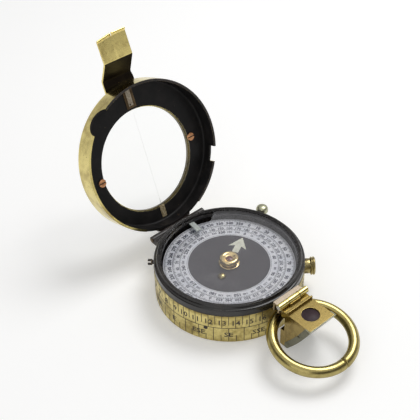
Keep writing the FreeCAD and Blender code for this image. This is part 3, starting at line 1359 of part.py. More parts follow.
def prism_case():
    face = -leaf_back - leaf_plate - focus_gap
    centre_y, centre_z, arc_radius = case_arc()
    centre = (centre_y, centre_z)
    block = box("case_block", (-leaf_half, leaf_half), (-case_reach, face), (case_low, case_top))
    outside = common("case_outside", block, across("case_round", arc_radius, leaf_half, centre))
    inner_half = leaf_half - case_sheet
    hollow = box("case_hollow", (-inner_half, inner_half),
                 (-2 * case_reach, face - case_back_sheet), (case_low - case_sheet,
                                                             case_top - case_sheet))
    view = cylinder("view_hole", view_radius, case_sheet * 4,
                    (0, -view_reach, case_top - 2 * case_sheet))
    eye_start = face - 2 * case_back_sheet
    eye = cylinder("eye_hole", eye_radius, case_back_sheet * 4, (0, eye_start, eye_height), ALONG_Y)
    slit = box("sight_slit", (-sight_half, sight_half),
               (face - 2 * case_back_sheet, face + case_back_sheet), (sight_low, eye_height))
    ridge = box("case_ridge_bar", (-leaf_half, leaf_half), (face - case_back_sheet, face),
                (case_top, case_ridge))
    key = box("case_key", (running_gap - leaf_slot_half, leaf_slot_half - running_gap),
              (face, -leaf_back), (key_low, key_low + key_height))
    screw_height = key_low + key_height / 2
    screw_hole = cylinder("slide_screw_hole", focus_screw_shank, leaf_plate + case_back_sheet * 2,
                          (0, face - case_back_sheet, screw_height), ALONG_Y)
    body = cut("case_shell", outside, hollow)
    whole = fuse("case_whole", body, ridge, key)
    piece("prism_box", cut("case_cut", whole, view, eye, slit, screw_hole))

    screw = slotted("slide_screw_blank", focus_screw_head, focus_screw_rise, focus_screw_shank,
                    leaf_plate + running_gap + focus_gap + case_back_sheet / 2, slot_width,
                    slot_depth)
    put(screw, (0, running_gap - leaf_back, screw_height), ALONG_Y)
    piece("slide_screw", screw)

    corner = (face - case_back_sheet, case_top - case_sheet)
    glass = padded("glass_wedge", "YZ_Plane", [
        (corner[0], corner[1]),
        (corner[0] - prism_leg, corner[1]),
        (corner[0], corner[1] - prism_leg),
    ], inner_half * 2)
    ball = (lens_radius * lens_radius + lens_rise * lens_rise) / (2 * lens_rise)
    lens = turned("glass_lens", [
        (0, 0),
        (lens_radius, 0, -ball),
        (0, lens_rise),
    ])
    put(lens, (0, -view_reach, corner[1]))
    slanted = across("glass_limit", arc_radius - cover_sheet, leaf_half, centre)
    wedge = common("glass_trimmed", glass, slanted)
    piece("prism_glass", fuse("glass_whole", wedge, lens))

    flange_half = leaf_half + cover_sheet
    band_outer = across("cover_outer", arc_radius + cover_sheet, flange_half, centre)
    band_inner = across("cover_inner", arc_radius - cover_flange, flange_half + cover_sheet,
                        centre)
    seat = across("cover_seat", arc_radius, leaf_half, centre)
    window = box("cover_window", (-flange_half, flange_half),
                 (-case_reach - 2 * cover_sheet, face), (case_low, case_top))
    notch_y = case_notch_reach(centre_y, centre_z, arc_radius)
    notch = box("cover_notch", (-2 * flange_half, 2 * flange_half),
                (notch_y, notch_y + cover_flange * 2),
                (cover_notch_height - cover_notch_half, cover_notch_height + cover_notch_half))
    band = common("cover_band", cut("cover_ring", band_outer, seat, band_inner), window)
    piece("prism_cover", cut("cover_cut", band, notch))


def case_notch_reach(centre_y, centre_z, arc_radius):
    """Where the cover's flange starts at the height of its notch."""
    rise = cover_notch_height - centre_z
    inner = arc_radius - cover_flange / 2
    return centre_y - root(inner * inner - rise * rise)


def carrying_ring():
    wire = doc.addObject("Part::Torus", "ring_torus")
    bind(wire, "Radius1", ring_radius)
    bind(wire, "Radius2", ring_wire)
    bind(wire, "Angle3", 360 - ring_slit)
    yaw = Rotation(Vector(0, 0, 1), number(ring_yaw))
    tilt = Rotation(Vector(1, 0, 0), number(ring_tilt))
    start = Rotation(Vector(0, 0, 1), number(ring_joint))
    turn = yaw.multiply(tilt).multiply(start)
    to_centre = yaw.multiply(tilt).multVec(Vector(0, -number(ring_radius), 0))
    lug = Vector(0, -number(lug_reach), number(lug_height))
    piece("lanyard_ring", wire, FreeCAD.Placement(lug + to_centre, turn))


def build():
    drum_case()
    pivot()
    card()
    bezel()
    lifter()
    brake()
    clamp()
    lid_shell()
    lid_fittings()
    lid_tongue()
    lid_hinge()
    prism_bracket()
    prism_leaf()
    prism_case()
    carrying_ring()


def check():
    """Stop if any object failed or any sub-part has no sound shape."""
    doc.recompute()
    for item in doc.Objects:
        if "Invalid" in item.State or "Error" in item.State:
            raise RuntimeError("%s is %s" % (item.Name, item.State))
    for name, item in pieces.items():
        if item.Shape.isNull() or not item.Shape.isValid() or not item.Shape.Solids:
            raise RuntimeError("%s has no sound solid" % name)


def write():
    os.makedirs("parts", exist_ok=True)
    for name, item in pieces.items():
        item.Shape.exportStep("parts/%s.step" % name)
        print("%-20s %d solid(s) %9.2f mm3" % (name, len(item.Shape.Solids), item.Shape.Volume))


build()
check()
write()
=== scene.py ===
"""A brass prismatic marching compass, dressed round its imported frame.

Lengths are written in millimetres and angles in degrees. The upright axis passes through the
pivot, +Y points to the lid's hinge, and a bearing is an angle from +X, seen from above.
"""

import json
import logging
import math
from collections.abc import Callable
from dataclasses import dataclass, field
from enum import Enum
from functools import cached_property

import bmesh
import bpy
import numpy as np
from mathutils import Matrix, Vector

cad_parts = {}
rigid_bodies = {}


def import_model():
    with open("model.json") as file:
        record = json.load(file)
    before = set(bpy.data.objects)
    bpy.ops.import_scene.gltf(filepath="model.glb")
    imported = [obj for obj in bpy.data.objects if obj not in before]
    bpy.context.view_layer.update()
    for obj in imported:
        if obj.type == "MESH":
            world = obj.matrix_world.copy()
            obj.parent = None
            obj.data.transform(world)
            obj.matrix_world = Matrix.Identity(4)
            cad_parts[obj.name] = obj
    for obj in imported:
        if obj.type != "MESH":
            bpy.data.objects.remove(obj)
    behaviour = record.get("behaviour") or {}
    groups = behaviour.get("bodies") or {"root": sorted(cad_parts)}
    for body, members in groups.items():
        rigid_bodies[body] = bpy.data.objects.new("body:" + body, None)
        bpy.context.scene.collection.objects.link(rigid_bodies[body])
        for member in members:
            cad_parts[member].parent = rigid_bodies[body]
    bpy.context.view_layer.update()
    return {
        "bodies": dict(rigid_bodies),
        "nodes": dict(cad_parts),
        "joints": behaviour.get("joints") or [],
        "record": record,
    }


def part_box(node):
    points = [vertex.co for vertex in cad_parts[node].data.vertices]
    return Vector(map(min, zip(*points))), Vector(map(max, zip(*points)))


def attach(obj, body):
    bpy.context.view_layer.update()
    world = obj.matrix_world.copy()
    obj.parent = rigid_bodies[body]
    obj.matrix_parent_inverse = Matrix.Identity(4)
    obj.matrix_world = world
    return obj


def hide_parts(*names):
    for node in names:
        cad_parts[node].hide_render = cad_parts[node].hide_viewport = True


LOG = logging.getLogger("compass")
MM = 0.001
FULL_TURN = 360.0
TENS = round(FULL_TURN / 10)
CORNER_STEPS = 4
CONVEX = 0.3

Colour = tuple[float, float, float]
Point = tuple[float, float, float]
Place = Point | np.ndarray
Flat = tuple[float, float]
Pair = tuple[np.ndarray, np.ndarray]


class Slot(Enum):
    """The record's material slots."""

    BRASS = "brass"
    LACQUER = "black_lacquer"
    COPPER = "copper"
    STEEL = "steel"
    GLASS = "clear_glass"
    PEARL = "pearl"
    DARK_CARD = "dark_card"
    LUMINOUS = "luminous"
    JEWEL = "jewel"


class Body(Enum):
    """The rigid bodies that pieces ride on."""

    ROOT = "root"
    BEZEL = "bezel"
    CARD = "card"
    LIFTER = "lifter"
    BRAKE_KNOB = "brake_knob"
    BRAKE = "brake"
    CLAMP = "clamp"
    LID = "lid"
    PRISM_PLATE = "prism_plate"
    PRISM = "prism"
    RING = "ring"


# Shader maths


class Term:
    """A shader value that is added, subtracted and multiplied as a number is."""

    def __init__(self, shader: "Shader", socket: bpy.types.NodeSocket) -> None:
        """Wraps one output socket of a shader."""
        self.shader = shader
        self.socket = socket

    def maths(self, operation: str, first: "Term | float", second: "Term | float") -> "Term":
        """Adds one Math node."""
        return self.shader.node("ShaderNodeMath", {"operation": operation}, {0: first, 1: second})

    def __add__(self, other: "Term | float") -> "Term":
        """Self plus other."""
        return self.maths("ADD", self, other)

    __radd__ = __add__

    def __sub__(self, other: "Term | float") -> "Term":
        """Self minus other."""
        return self.maths("SUBTRACT", self, other)

    def __rsub__(self, other: float) -> "Term":
        """Other minus self."""
        return self.maths("SUBTRACT", other, self)

    def __mul__(self, other: "Term | float") -> "Term":
        """Self times other."""
        return self.maths("MULTIPLY", self, other)

    __rmul__ = __mul__

    def larger(self, other: "Term | float") -> "Term":
        """The larger of self and other."""
        return self.maths("MAXIMUM", self, other)

    def step(self, low: float, high: float) -> "Term":
        """A smooth rise from 0 at low to 1 at high."""
        ends = {"Value": self, "From Min": low, "From Max": high}
        return self.shader.node("ShaderNodeMapRange", {"interpolation_type": "SMOOTHSTEP"}, ends)


class Shader:
    """A material, or the world, under construction.

    The Mix node's sockets go by number: its factor and both colours, and the mixed colour.
    """

    MIX_COLOURS = (0, 6, 7)
    MIX_RESULT = 2

    def __init__(self, name: str, world: bool = False) -> None:
        """Starts an empty node tree.

        Args:
            name: Name of the new material or world.
            world: Whether it is a world.
        """
        kind, store = ("World", bpy.data.worlds) if world else ("Material", bpy.data.materials)
        self.owner = store.new(name)
        self.owner.use_nodes = True
        self.tree = self.owner.node_tree
        self.tree.nodes.clear()
        self.ending = "ShaderNodeOutput" + kind

    @cached_property
    def place(self) -> Term:
        """The place on the object, in millimetres."""
        values = {"Vector": self.node("ShaderNodeTexCoord", output="Object"), "Scale": [1 / MM] * 3}
        return self.node("ShaderNodeMapping", {}, values)

    def node(
        self, kind: str, settings: dict | None = None, inputs: dict | None = None,
        output: int | str = 0,
    ) -> Term:
        """Adds any node.

        Args:
            kind: The node's type.
            settings: Properties that are set first.
            inputs: The value or link of each socket, by name or number.
            output: The output socket that is handed back.

        Returns:
            The chosen output as a Term.
        """
        made = self.tree.nodes.new(kind)
        for key, value in (settings or {}).items():
            setattr(made, key, value)
        for key, value in (inputs or {}).items():
            if isinstance(value, Term):
                self.tree.links.new(value.socket, made.inputs[key])
            else:
                made.inputs[key].default_value = value
        return Term(self, made.outputs[output])

    def clouds(self, size: float, detail: float, stretch: Point = (1, 1, 1)) -> Term:
        """Noise between 0 and 1.

        Args:
            size: Width of a cloud, in millimetres.
            detail: How many finer layers it has.
            stretch: How much finer the noise is along each axis.

        Returns:
            The noise.
        """
        place = self.place
        if stretch != (1, 1, 1):
            place = self.node("ShaderNodeMapping", {}, {"Vector": place, "Scale": stretch})
        values = {"Vector": place, "Scale": 1 / size, "Detail": detail}
        return self.node("ShaderNodeTexNoise", {}, values)

    def blend(self, share: Term, first: "Colour | Term", second: "Colour | Term") -> Term:
        """Mixes two colours.

        Args:
            share: How much of the second colour shows.
            first: Colour at share 0.
            second: Colour at share 1.

        Returns:
            The mixed colour.
        """
        factor, low, high = self.MIX_COLOURS
        first, second = (c if isinstance(c, Term) else (*c, 1.0) for c in (first, second))
        values = {factor: share, low: first, high: second}
        return self.node("ShaderNodeMix", {"data_type": "RGBA"}, values, self.MIX_RESULT)

    def relief(self, height: Term, depth: float) -> Term:
        """A bump from a height between 0 and 1, as deep as depth millimetres."""
        values = {"Height": height, "Distance": depth * MM, "Strength": 1.0}
        return self.node("ShaderNodeBump", {}, values, "Normal")

    def edges(self) -> Term:
        """1 on the worn outer edges of a piece and 0 elsewhere."""
        return self.node("ShaderNodeAttribute", {"attribute_name": "edge"}, output="Fac")

    def axis(self, name: str) -> Term:
        """The place along X, Y or Z, in millimetres."""
        return self.node("ShaderNodeSeparateXYZ", {}, {"Vector": self.place}, name)

    def shown(self) -> Term:
        """1 for rays from the camera or from a mirror or glass, 0 for rays that light things."""
        rays = ("Is Camera Ray", "Is Glossy Ray", "Is Transmission Ray")
        return sum(self.node("ShaderNodeLightPath", output=ray) for ray in rays)

    def done(self, surface: Term) -> bpy.types.ID:
        """Ends the tree.

        Args:
            surface: The surface's shader.

        Returns:
            The material or the world.
        """
        end = self.tree.nodes.new(self.ending)
        self.tree.links.new(surface.socket, end.inputs["Surface"])
        return self.owner

    def principled(self, inputs: dict) -> bpy.types.Material:
        """Ends the tree with a Principled surface."""
        return self.done(self.node("ShaderNodeBsdfPrincipled", {}, inputs))


# Finishes


@dataclass(frozen=True)
class Polished:
    """Handled metal: bright where it is rubbed, clouded with tarnish and specked with spots."""

    name: str
    bright: Colour
    tarnish: Colour
    spot: Colour = (0.07, 0.045, 0.02)
    roughness: float = 0.17
    haze: float = 0.2
    cover: float = 0.55
    spots: float = 0.65
    cloud: float = 6.0
    grain: Point = (1, 1, 1)
    relief: float = 0.006
    grime: float = 0.0
    grime_span: Flat = (0.0, 13.5)

    def make(self) -> bpy.types.Material:
        """Builds the material: tarnish by large and middling clouds, spots by fine ones, and
        painted shade along both ends of a wall where grime is set.

        Returns:
            The material.
        """
        s = Shader(self.name)
        edge = s.edges()
        large = s.clouds(self.cloud, 4)
        fine = s.clouds(self.cloud / 5, 5)
        film = (large * 0.65 + fine * 0.35).step(0.62 - 0.3 * self.cover, 0.78 - 0.2 * self.cover)
        film = film * (1 - 0.75 * edge) * self.cover
        # Painted shade: blotchy darkening along both ends of the wall, under the bezel and at its
        # foot.
        if self.grime:
            film = film.larger(self.dirt(s) * s.clouds(3.0, 5).step(0.3, 0.6) * 0.9)
        specks = s.clouds(0.55, 2).step(0.64, 0.72) * s.clouds(4.0, 2).step(0.42, 0.62)
        specks = specks * self.spots
        rubbed = s.clouds(0.16, 3, self.grain)
        scratches = s.clouds(0.5, 2, (9, 1, 2)).step(0.66, 0.74)
        base = s.blend(specks, s.blend(film, self.bright, self.tarnish), self.spot)
        rough = self.roughness + film * self.haze + rubbed * 0.08 + specks * 0.3
        height = rubbed * 0.5 + s.clouds(1.3, 2) * 0.8 - scratches * 0.4 - specks * 0.5
        normal = s.relief(height, self.relief)
        return s.principled(
            {"Base Color": base, "Metallic": 1.0, "Roughness": rough, "Normal": normal}
        )

    def dirt(self, s: Shader) -> Term:
        """Painted shade along both ends of a wall, under the bezel and at its foot.

        Args:
            s: The material under construction.

        Returns:
            1 at the lower and the upper end of the wall, falling to 0 over the shade's width.
        """
        (low, high), height = self.grime_span, s.axis("Z")
        return (1 - height.step(low, low + self.grime)).larger(height.step(high - self.grime, high))


@dataclass(frozen=True)
class Lacquer:
    """Black lacquer over brass, rubbed through along its outer edges and chipped here and there."""

    name: str
    paint: Colour = (0.014, 0.0115, 0.0105)
    faded: Colour = (0.04, 0.031, 0.027)
    metal: Colour = (0.5, 0.36, 0.18)
    roughness: float = 0.24
    worn: float = 0.8
    chips: float = 0.5
    coat: float = 0.12
    shine: float = 0.3

    def make(self) -> bpy.types.Material:
        """Builds the material: bare metal where edge wear or a chip passes a noise.

        Returns:
            The material.
        """
        s = Shader(self.name)
        patch = s.clouds(2.6, 4)
        rub = (s.edges() * self.worn * 0.5 + patch * 0.72).step(0.52, 0.7)
        chip = (s.clouds(0.45, 2).step(0.7, 0.74) * s.clouds(6.0, 2).step(0.5, 0.6)) * self.chips
        bare = rub.larger(chip)
        dull = s.clouds(5.0, 5).step(0.4, 0.72)
        base = s.blend(bare, s.blend(dull, self.paint, self.faded), self.metal)
        rough = self.roughness + dull * 0.12 + s.clouds(0.3, 3) * 0.1
        height = s.clouds(0.35, 3) * 0.6 - bare * 0.8
        return s.principled(
            {
                "Base Color": base,
                "Metallic": bare,
                "Roughness": rough,
                "Coat Weight": self.coat - self.coat * bare,
                "Coat Roughness": 0.12,
                "Specular IOR Level": self.shine,
                "Normal": s.relief(height, 0.012),
            }
        )


@dataclass(frozen=True)
class ClearGlass:
    """Old flat glass: clear, with a grey reflection and a little dust."""

    name: str
    tint: Colour = (0.93, 0.955, 0.945)
    mirror: float = 0.05
    dust: float = 0.04
    reflection: Colour = (0.96, 0.97, 1.0)
    roughness: float = 0.03

    def make(self) -> bpy.types.Material:
        """Mixes see-through and glossy shaders, glossier at a grazing angle and where dusty.

        Returns:
            The material.
        """
        s = Shader(self.name)
        grazing = s.node("ShaderNodeLayerWeight", output="Facing")
        mirror = self.mirror + (grazing * grazing) * (grazing * grazing) * grazing * 0.9
        smears = s.clouds(7.0, 5).step(0.5, 0.8) * self.dust
        clear = s.node("ShaderNodeBsdfTransparent", {}, {"Color": (*self.tint, 1.0)})
        shine = {"Color": (*self.reflection, 1.0), "Roughness": self.roughness}
        gloss = s.node("ShaderNodeBsdfGlossy", {}, shine)
        return s.done(s.node("ShaderNodeMixShader", {}, {0: mirror + smears, 1: clear, 2: gloss}))


@dataclass(frozen=True)
class Painted:
    """A paint, print or card with uneven colour, fine grain and a soft shine."""

    name: str
    light: Colour
    dark: Colour
    roughness: float = 0.5
    patch: float = 3.0
    coat: float = 0.0
    grain: float = 0.25
    relief: float = 0.01
    metallic: float = 0.0
    shine: float = 0.5

    def make(self) -> bpy.types.Material:
        """Builds the material: two colours by clouds, with a grain in gloss and height.

        Returns:
            The material.
        """
        s = Shader(self.name)
        patches = (s.clouds(self.patch, 5) * 0.7 + s.clouds(self.grain, 3) * 0.3).step(0.36, 0.66)
        grain = s.clouds(self.grain, 3)
        return s.principled(
            {
                "Base Color": s.blend(patches, self.light, self.dark),
                "Metallic": self.metallic,
                "Roughness": self.roughness + 0.2 * patches - 0.12 * grain,
                "Coat Weight": self.coat,
                "Coat Roughness": 0.15,
                "Specular IOR Level": self.shine,
                "Normal": s.relief(grain, self.relief),
            }
        )


@dataclass(frozen=True)
class Finishes:
    """Every finish of the compass, made once."""

    brass: Polished = Polished(
        "polished_brass", (0.82, 0.68, 0.26), (0.45, 0.34, 0.115), roughness=0.16
    )
    lid_brass: Polished = Polished(
        "lid_brass", (0.75, 0.635, 0.25), (0.3, 0.22, 0.07), roughness=0.1, haze=0.12, cover=0.7,
        cloud=13.0,
    )
    # The scale band's grime is painted shade along its upper and lower ends.
    wall_brass: Polished = Polished(
        "scale_band_brass", (0.73, 0.615, 0.25), (0.27, 0.2, 0.06), roughness=0.24, spots=0.9,
        cover=0.72, cloud=7.0, grime=2.2,
    )
    # Dark brown brass: the colour of small dark parts, and painted shade on the prism leaf's faces
    # toward the drum and the floor.
    brown_brass: Polished = Polished(
        "browned_brass_and_painted_shade", (0.16, 0.11, 0.06), (0.04, 0.027, 0.016), roughness=0.24, cover=0.8
    )
    ring_brass: Polished = Polished(
        "ring_brass", (0.42, 0.35, 0.135), (0.19, 0.145, 0.05), roughness=0.17, cloud=9.0
    )
    case_brass: Polished = Polished(
        "prism_case_brass", (0.37, 0.275, 0.095), (0.18, 0.125, 0.04), roughness=0.17, cloud=9.0
    )
    barrel_brass: Polished = Polished(
        "barrel_brass", (0.78, 0.65, 0.24), (0.4, 0.3, 0.09), roughness=0.16, cloud=3.0
    )
    cover_brass: Polished = Polished(
        "greenish_brass", (0.2, 0.2, 0.145), (0.09, 0.088, 0.06), roughness=0.24
    )
    knob_brass: Polished = Polished(
        "knob_brass", (0.42, 0.35, 0.16), (0.1, 0.07, 0.03), roughness=0.18, cloud=3.0, cover=0.85
    )
    stud_brass: Polished = Polished(
        "pale_brass", (0.44, 0.44, 0.31), (0.24, 0.24, 0.15), roughness=0.27, cloud=2.0
    )
    pink_brass: Polished = Polished(
        "rosy_brass", (0.6, 0.5, 0.38), (0.3, 0.23, 0.17), roughness=0.22, cloud=3.0
    )
    cap_brass: Polished = Polished(
        "cap_brass", (0.95, 0.75, 0.37), (0.66, 0.42, 0.21), roughness=0.12, cloud=2.6
    )
    bore_brass: Polished = Polished(
        "dull_edge_brass", (0.17, 0.15, 0.1), (0.08, 0.07, 0.05), roughness=0.3
    )
    copper: Polished = Polished(
        "copper_screws", (0.6, 0.3, 0.15), (0.2, 0.075, 0.03), cloud=1.2, cover=0.7, relief=0.03
    )
    steel: Polished = Polished(
        "bright_steel", (0.56, 0.55, 0.53), (0.26, 0.23, 0.2), roughness=0.26, cover=0.4
    )
    bezel_black: Lacquer = Lacquer(
        "bezel_lacquer", (0.010, 0.0088, 0.008), (0.022, 0.0175, 0.015), worn=0.1, chips=0.2,
        roughness=0.18, coat=0.25, shine=0.4,
    )
    lid_black: Lacquer = Lacquer(
        "lid_lacquer", (0.010, 0.0095, 0.0095), (0.018, 0.016, 0.0155), worn=0.12, roughness=0.34,
        chips=0.2, coat=0.02, shine=0.14,
    )
    rim_black: Lacquer = Lacquer("rim_lacquer", worn=0.8, chips=0.6)
    hinge_black: Lacquer = Lacquer(
        "hinge_lacquer", (0.016, 0.0115, 0.0095), (0.034, 0.023, 0.018), worn=0.34, chips=0.5
    )
    # Near-black for the underside of the tongue's slope and root.
    tongue_black: Lacquer = Lacquer(
        "tongue_underside_black", (0.009, 0.0065, 0.0045), (0.016, 0.0115, 0.007), worn=0.2, chips=0.3,
        coat=0.02, shine=0.06,
    )
    glass: ClearGlass = ClearGlass("flat_glass", tint=(0.975, 0.975, 0.98), mirror=0.09)
    lid_glass: ClearGlass = ClearGlass(
        "window_glass", tint=(0.996, 0.998, 0.996), mirror=0.015, dust=0.008
    )
    # Painted shade: the prism's lens is an opaque dark tint standing for the shaded view into the
    # prism.
    prism_glass: Painted = Painted(
        "prism_glass", (0.05, 0.03, 0.035), (0.028, 0.017, 0.021), 0.34, 4.0, shine=0.12
    )
    # Black filling of the engraving, the seams and the mark, and painted shade in the screw slots.
    enamel: Painted = Painted("black_filling_and_slot_shade", (0.022, 0.016, 0.012), (0.075, 0.055, 0.03), 0.55)
    print: Painted = Painted("dial_print", (0.03, 0.034, 0.055), (0.08, 0.088, 0.13), 0.5, 1.5)
    pearl: Painted = Painted(
        "pearly_ring", (0.95, 0.95, 0.97), (0.8, 0.82, 0.87), 0.3, 5.0, coat=0.5
    )
    card: Painted = Painted("dark_disc", (0.03, 0.026, 0.032), (0.042, 0.036, 0.043), 0.42, 5.0)
    luminous: Painted = Painted("luminous_paint", (0.93, 0.93, 0.77), (0.78, 0.78, 0.62), 0.6, 1.2)
    index_paint: Painted = Painted("index_paint", (0.78, 0.83, 0.77), (0.6, 0.65, 0.59), 0.5, 1.0)
    aged: Painted = Painted("aged_paint", (0.5, 0.44, 0.33), (0.27, 0.21, 0.15), 0.6, 0.8)
    golden: Painted = Painted(
        "worn_gilt", (0.66, 0.56, 0.36), (0.24, 0.17, 0.08), 0.4, 0.6, metallic=0.5
    )
    jewel: Painted = Painted("jewel", (0.2, 0.03, 0.025), (0.09, 0.012, 0.01), 0.12, 0.6, coat=1.0)
    inside: Painted = Painted("drum_inside", (0.1, 0.1, 0.105), (0.05, 0.05, 0.052), 0.4, 4.0)


class Paints:
    """The materials of all finishes, by the finish's field name."""

    def __init__(self, finishes: Finishes) -> None:
        """Keeps the finishes; a material is made when it is first asked for."""
        self.finishes = finishes
        self.made: dict[str, bpy.types.Material] = {}

    def __getitem__(self, name: str) -> bpy.types.Material:
        """The material of one finish.

        Args:
            name: The finish's field.

        Returns:
            The material, the same one each time.
        """
        if name not in self.made:
            self.made[name] = getattr(self.finishes, name).make()
        return self.made[name]


# Meshes


def quads(rows: int, columns: int, rows_close: bool, columns_close: bool) -> np.ndarray:
    """Faces between the neighbouring points of a grid.

    Point (i, j) of the grid has number i * columns + j. A closed direction joins its last
    point to its first.

    Args:
        rows: Points in the first direction.
        columns: Points in the second direction.
        rows_close: Whether the first direction closes.
        columns_close: Whether the second direction closes.

    Returns:
        Corner numbers, four to a face.
    """
    row, column = np.meshgrid(
        np.arange(rows if rows_close else rows - 1),
        np.arange(columns if columns_close else columns - 1),
        indexing="ij",
    )
    next_row = (row + 1) % rows
    next_column = (column + 1) % columns
    corners = [
        row * columns + column,
        row * columns + next_column,
        next_row * columns + next_column,
        next_row * columns + column,
    ]
    return np.stack(corners, -1).reshape(-1, 4)


def swept(rows: int, columns: int) -> list[list[int]]:
    """Faces of a closed outline carried along, with a flat face at each end.

    Args:
        rows: Places that the outline is set down at.
        columns: Points of the outline.

    Returns:
        Corner numbers of each face.
    """
    faces = quads(rows, columns, False, True).tolist()
    start, end = list(range(columns))[::-1], list(range((rows - 1) * columns, rows * columns))
    return [*faces, start, end]


def new_piece(name: str, points: np.ndarray, faces: list) -> bpy.types.Object:
    """Puts points, in millimetres, and faces into an object at the origin.

    Args:
        name: The piece's name.
        points: Array of points.
        faces: Corner numbers of each face.

    Returns:
        The new object, shaded smooth.
    """
    mesh = bpy.data.meshes.new(name)
    mesh.from_pydata(np.asarray(points) * MM, [], faces)
    mesh.shade_smooth()
    mesh.update()
    piece = bpy.data.objects.new(name, mesh)
    bpy.context.scene.collection.objects.link(piece)
    return piece


def outward(bearing: float) -> np.ndarray:
    """The level direction at a bearing."""
    t = math.radians(bearing)
    return np.array([math.cos(t), math.sin(t), 0.0])


def mark_edges(mesh: bpy.types.Mesh, worn: np.ndarray) -> None:
    """Writes the wear of each face, 0 or 1, that the finishes read as edge."""
    layer = mesh.attributes.new("edge", "FLOAT", "FACE")
    layer.data.foreach_set("value", np.ascontiguousarray(worn, dtype=np.float32))


def weigh_normals(piece: bpy.types.Object) -> None:
    """Keeps the broad faces of a piece flat up to their rounded edges.

    Args:
        piece: The piece.
    """
    weighted = piece.modifiers.new("flat_faces", "WEIGHTED_NORMAL")
    weighted.keep_sharp = True
    weighted.weight = 80


def soften(corners: np.ndarray, radius: float) -> Pair:
    """Rounds every corner of a closed outline, except those on the axis.

    A corner C between runs to A and B becomes the curve (1-u)^2 P + 2u(1-u) C + u^2 Q, where P
    and Q lie on the runs at the radius from C, or at 0.45 of a shorter run. A corner is convex
    where the sine of its turn is over CONVEX.

    Args:
        corners: The outline's corners, anticlockwise.
        radius: Length that a corner takes off each run.

    Returns:
        The rounded outline, and for each of its runs 1 on a convex corner and 0 elsewhere.
    """
    before = np.roll(corners, 1, 0) - corners
    after = np.roll(corners, -1, 0) - corners
    back = np.linalg.norm(before, axis=1, keepdims=True)
    ahead = np.linalg.norm(after, axis=1, keepdims=True)
    radius = np.where(corners[:, :1] == 0, 0, radius)
    start = corners + before / back * np.minimum(radius, back * 0.45)
    end = corners + after / ahead * np.minimum(radius, ahead * 0.45)
    u = np.linspace(0, 1, CORNER_STEPS)[None, :, None]
    tip = corners[:, None]
    rounded = (1 - u) ** 2 * start[:, None] + 2 * u * (1 - u) * tip + u**2 * end[:, None]
    turn = before[:, 1] * after[:, 0] - before[:, 0] * after[:, 1]
    sharp = turn / (back * ahead)[:, 0] > CONVEX
    worn = np.repeat(sharp[:, None], CORNER_STEPS, 1)
    worn[:, -1] = False
    return rounded.reshape(-1, 2), worn.reshape(-1).astype(float)


def merge_doubles(mesh: bpy.types.Mesh) -> None:
    """Joins points that fall together, as on the axis of a turned piece.

    Args:
        mesh: The mesh.
    """
    shape = bmesh.new()
    shape.from_mesh(mesh)
    bmesh.ops.remove_doubles(shape, verts=shape.verts, dist=1e-7)
    shape.to_mesh(mesh)
    shape.free()


def lean(
    piece: bpy.types.Object, place: Place, axis: Place, side: Place = (0.0, 0.0, 1.0)
) -> None:
    """Turns a piece's upright axis along another one and moves its foot to a place.

    Args:
        piece: The piece, made upright at the origin.
        place: Where its foot goes.
        axis: Where its upright axis points.
        side: Where its +Y points, at right angles to the axis.
    """
    up, ahead = Vector(axis).normalized(), Vector(side).normalized()
    turn = Matrix((ahead.cross(up), ahead, up)).transposed().to_4x4()
    piece.data.transform(Matrix.Translation(Vector(place) * MM) @ turn)


def prism(name: str, outlines: list[np.ndarray], low: float, high: float) -> bpy.types.Object:
    """Carries flat closed outlines straight up.

    A point (x, y) of an anticlockwise outline stands at (x, y, low) and (x, y, high).

    Args:
        name: The piece's name.
        outlines: The outlines.
        low: Height of the lower faces.
        high: Height of the upper faces.

    Returns:
        The new object.
    """
    points, faces, first = [], [], 0
    for outline in outlines:
        count = len(outline)
        for height in (low, high):
            points.append(np.column_stack([outline, np.full(count, height)]))
        faces += [[corner + first for corner in face] for face in swept(2, count)]
        first += 2 * count
    return new_piece(name, np.concatenate(points), faces)


def tube(
    name: str, path: np.ndarray, across: np.ndarray, above: np.ndarray, radius: np.ndarray,
    around: int,
) -> bpy.types.Object:
    """Carries a circle along a path.

    At the path's point P the circle's point at angle q is P + r (A cos q + B sin q), where A
    and B are the two directions across the path, and A x B points along it. Both ends are
    closed by a flat face.

    Args:
        name: The piece's name.
        path: Points of the path.
        across: First direction across the path at each point.
        above: Second direction.
        radius: Radius at each point.
        around: Steps round the circle.

    Returns:
        The new object.
    """
    q = np.linspace(0, 2 * np.pi, around, endpoint=False)[None, :, None]
    circle = across[:, None] * np.cos(q) + above[:, None] * np.sin(q)
    points = path[:, None] + radius[:, None, None] * circle
    return new_piece(name, points.reshape(-1, 3), swept(len(path), around))


def turned(
    name: str, corners: np.ndarray | tuple[Flat, ...], softness: float, around: int = 288
) -> bpy.types.Object:
    """Rounds the corners of a closed outline and turns it about the upright axis.

    A point (r, h) of the outline at bearing t becomes (r cos t, r sin t, h). An anticlockwise
    outline gives faces that point outwards.

    Args:
        name: The piece's name.
        corners: Radius and height of each corner.
        softness: Length that a rounded corner takes off each run.
        around: Steps of a full turn.

    Returns:
        The new object.
    """
    outline, worn = soften(np.array(corners), softness)
    bearing = np.linspace(0, 2 * np.pi, around, endpoint=False)
    radius, height = outline[:, :1], outline[:, 1:]
    across = [radius * np.cos(bearing), radius * np.sin(bearing)]
    points = np.stack([*across, height + 0 * bearing], -1)
    faces = quads(len(outline), around, True, True)
    piece = new_piece(name, points.reshape(-1, 3), faces.tolist())
    mark_edges(piece.data, np.repeat(worn, around))
    merge_doubles(piece.data)
    weigh_normals(piece)
    return piece


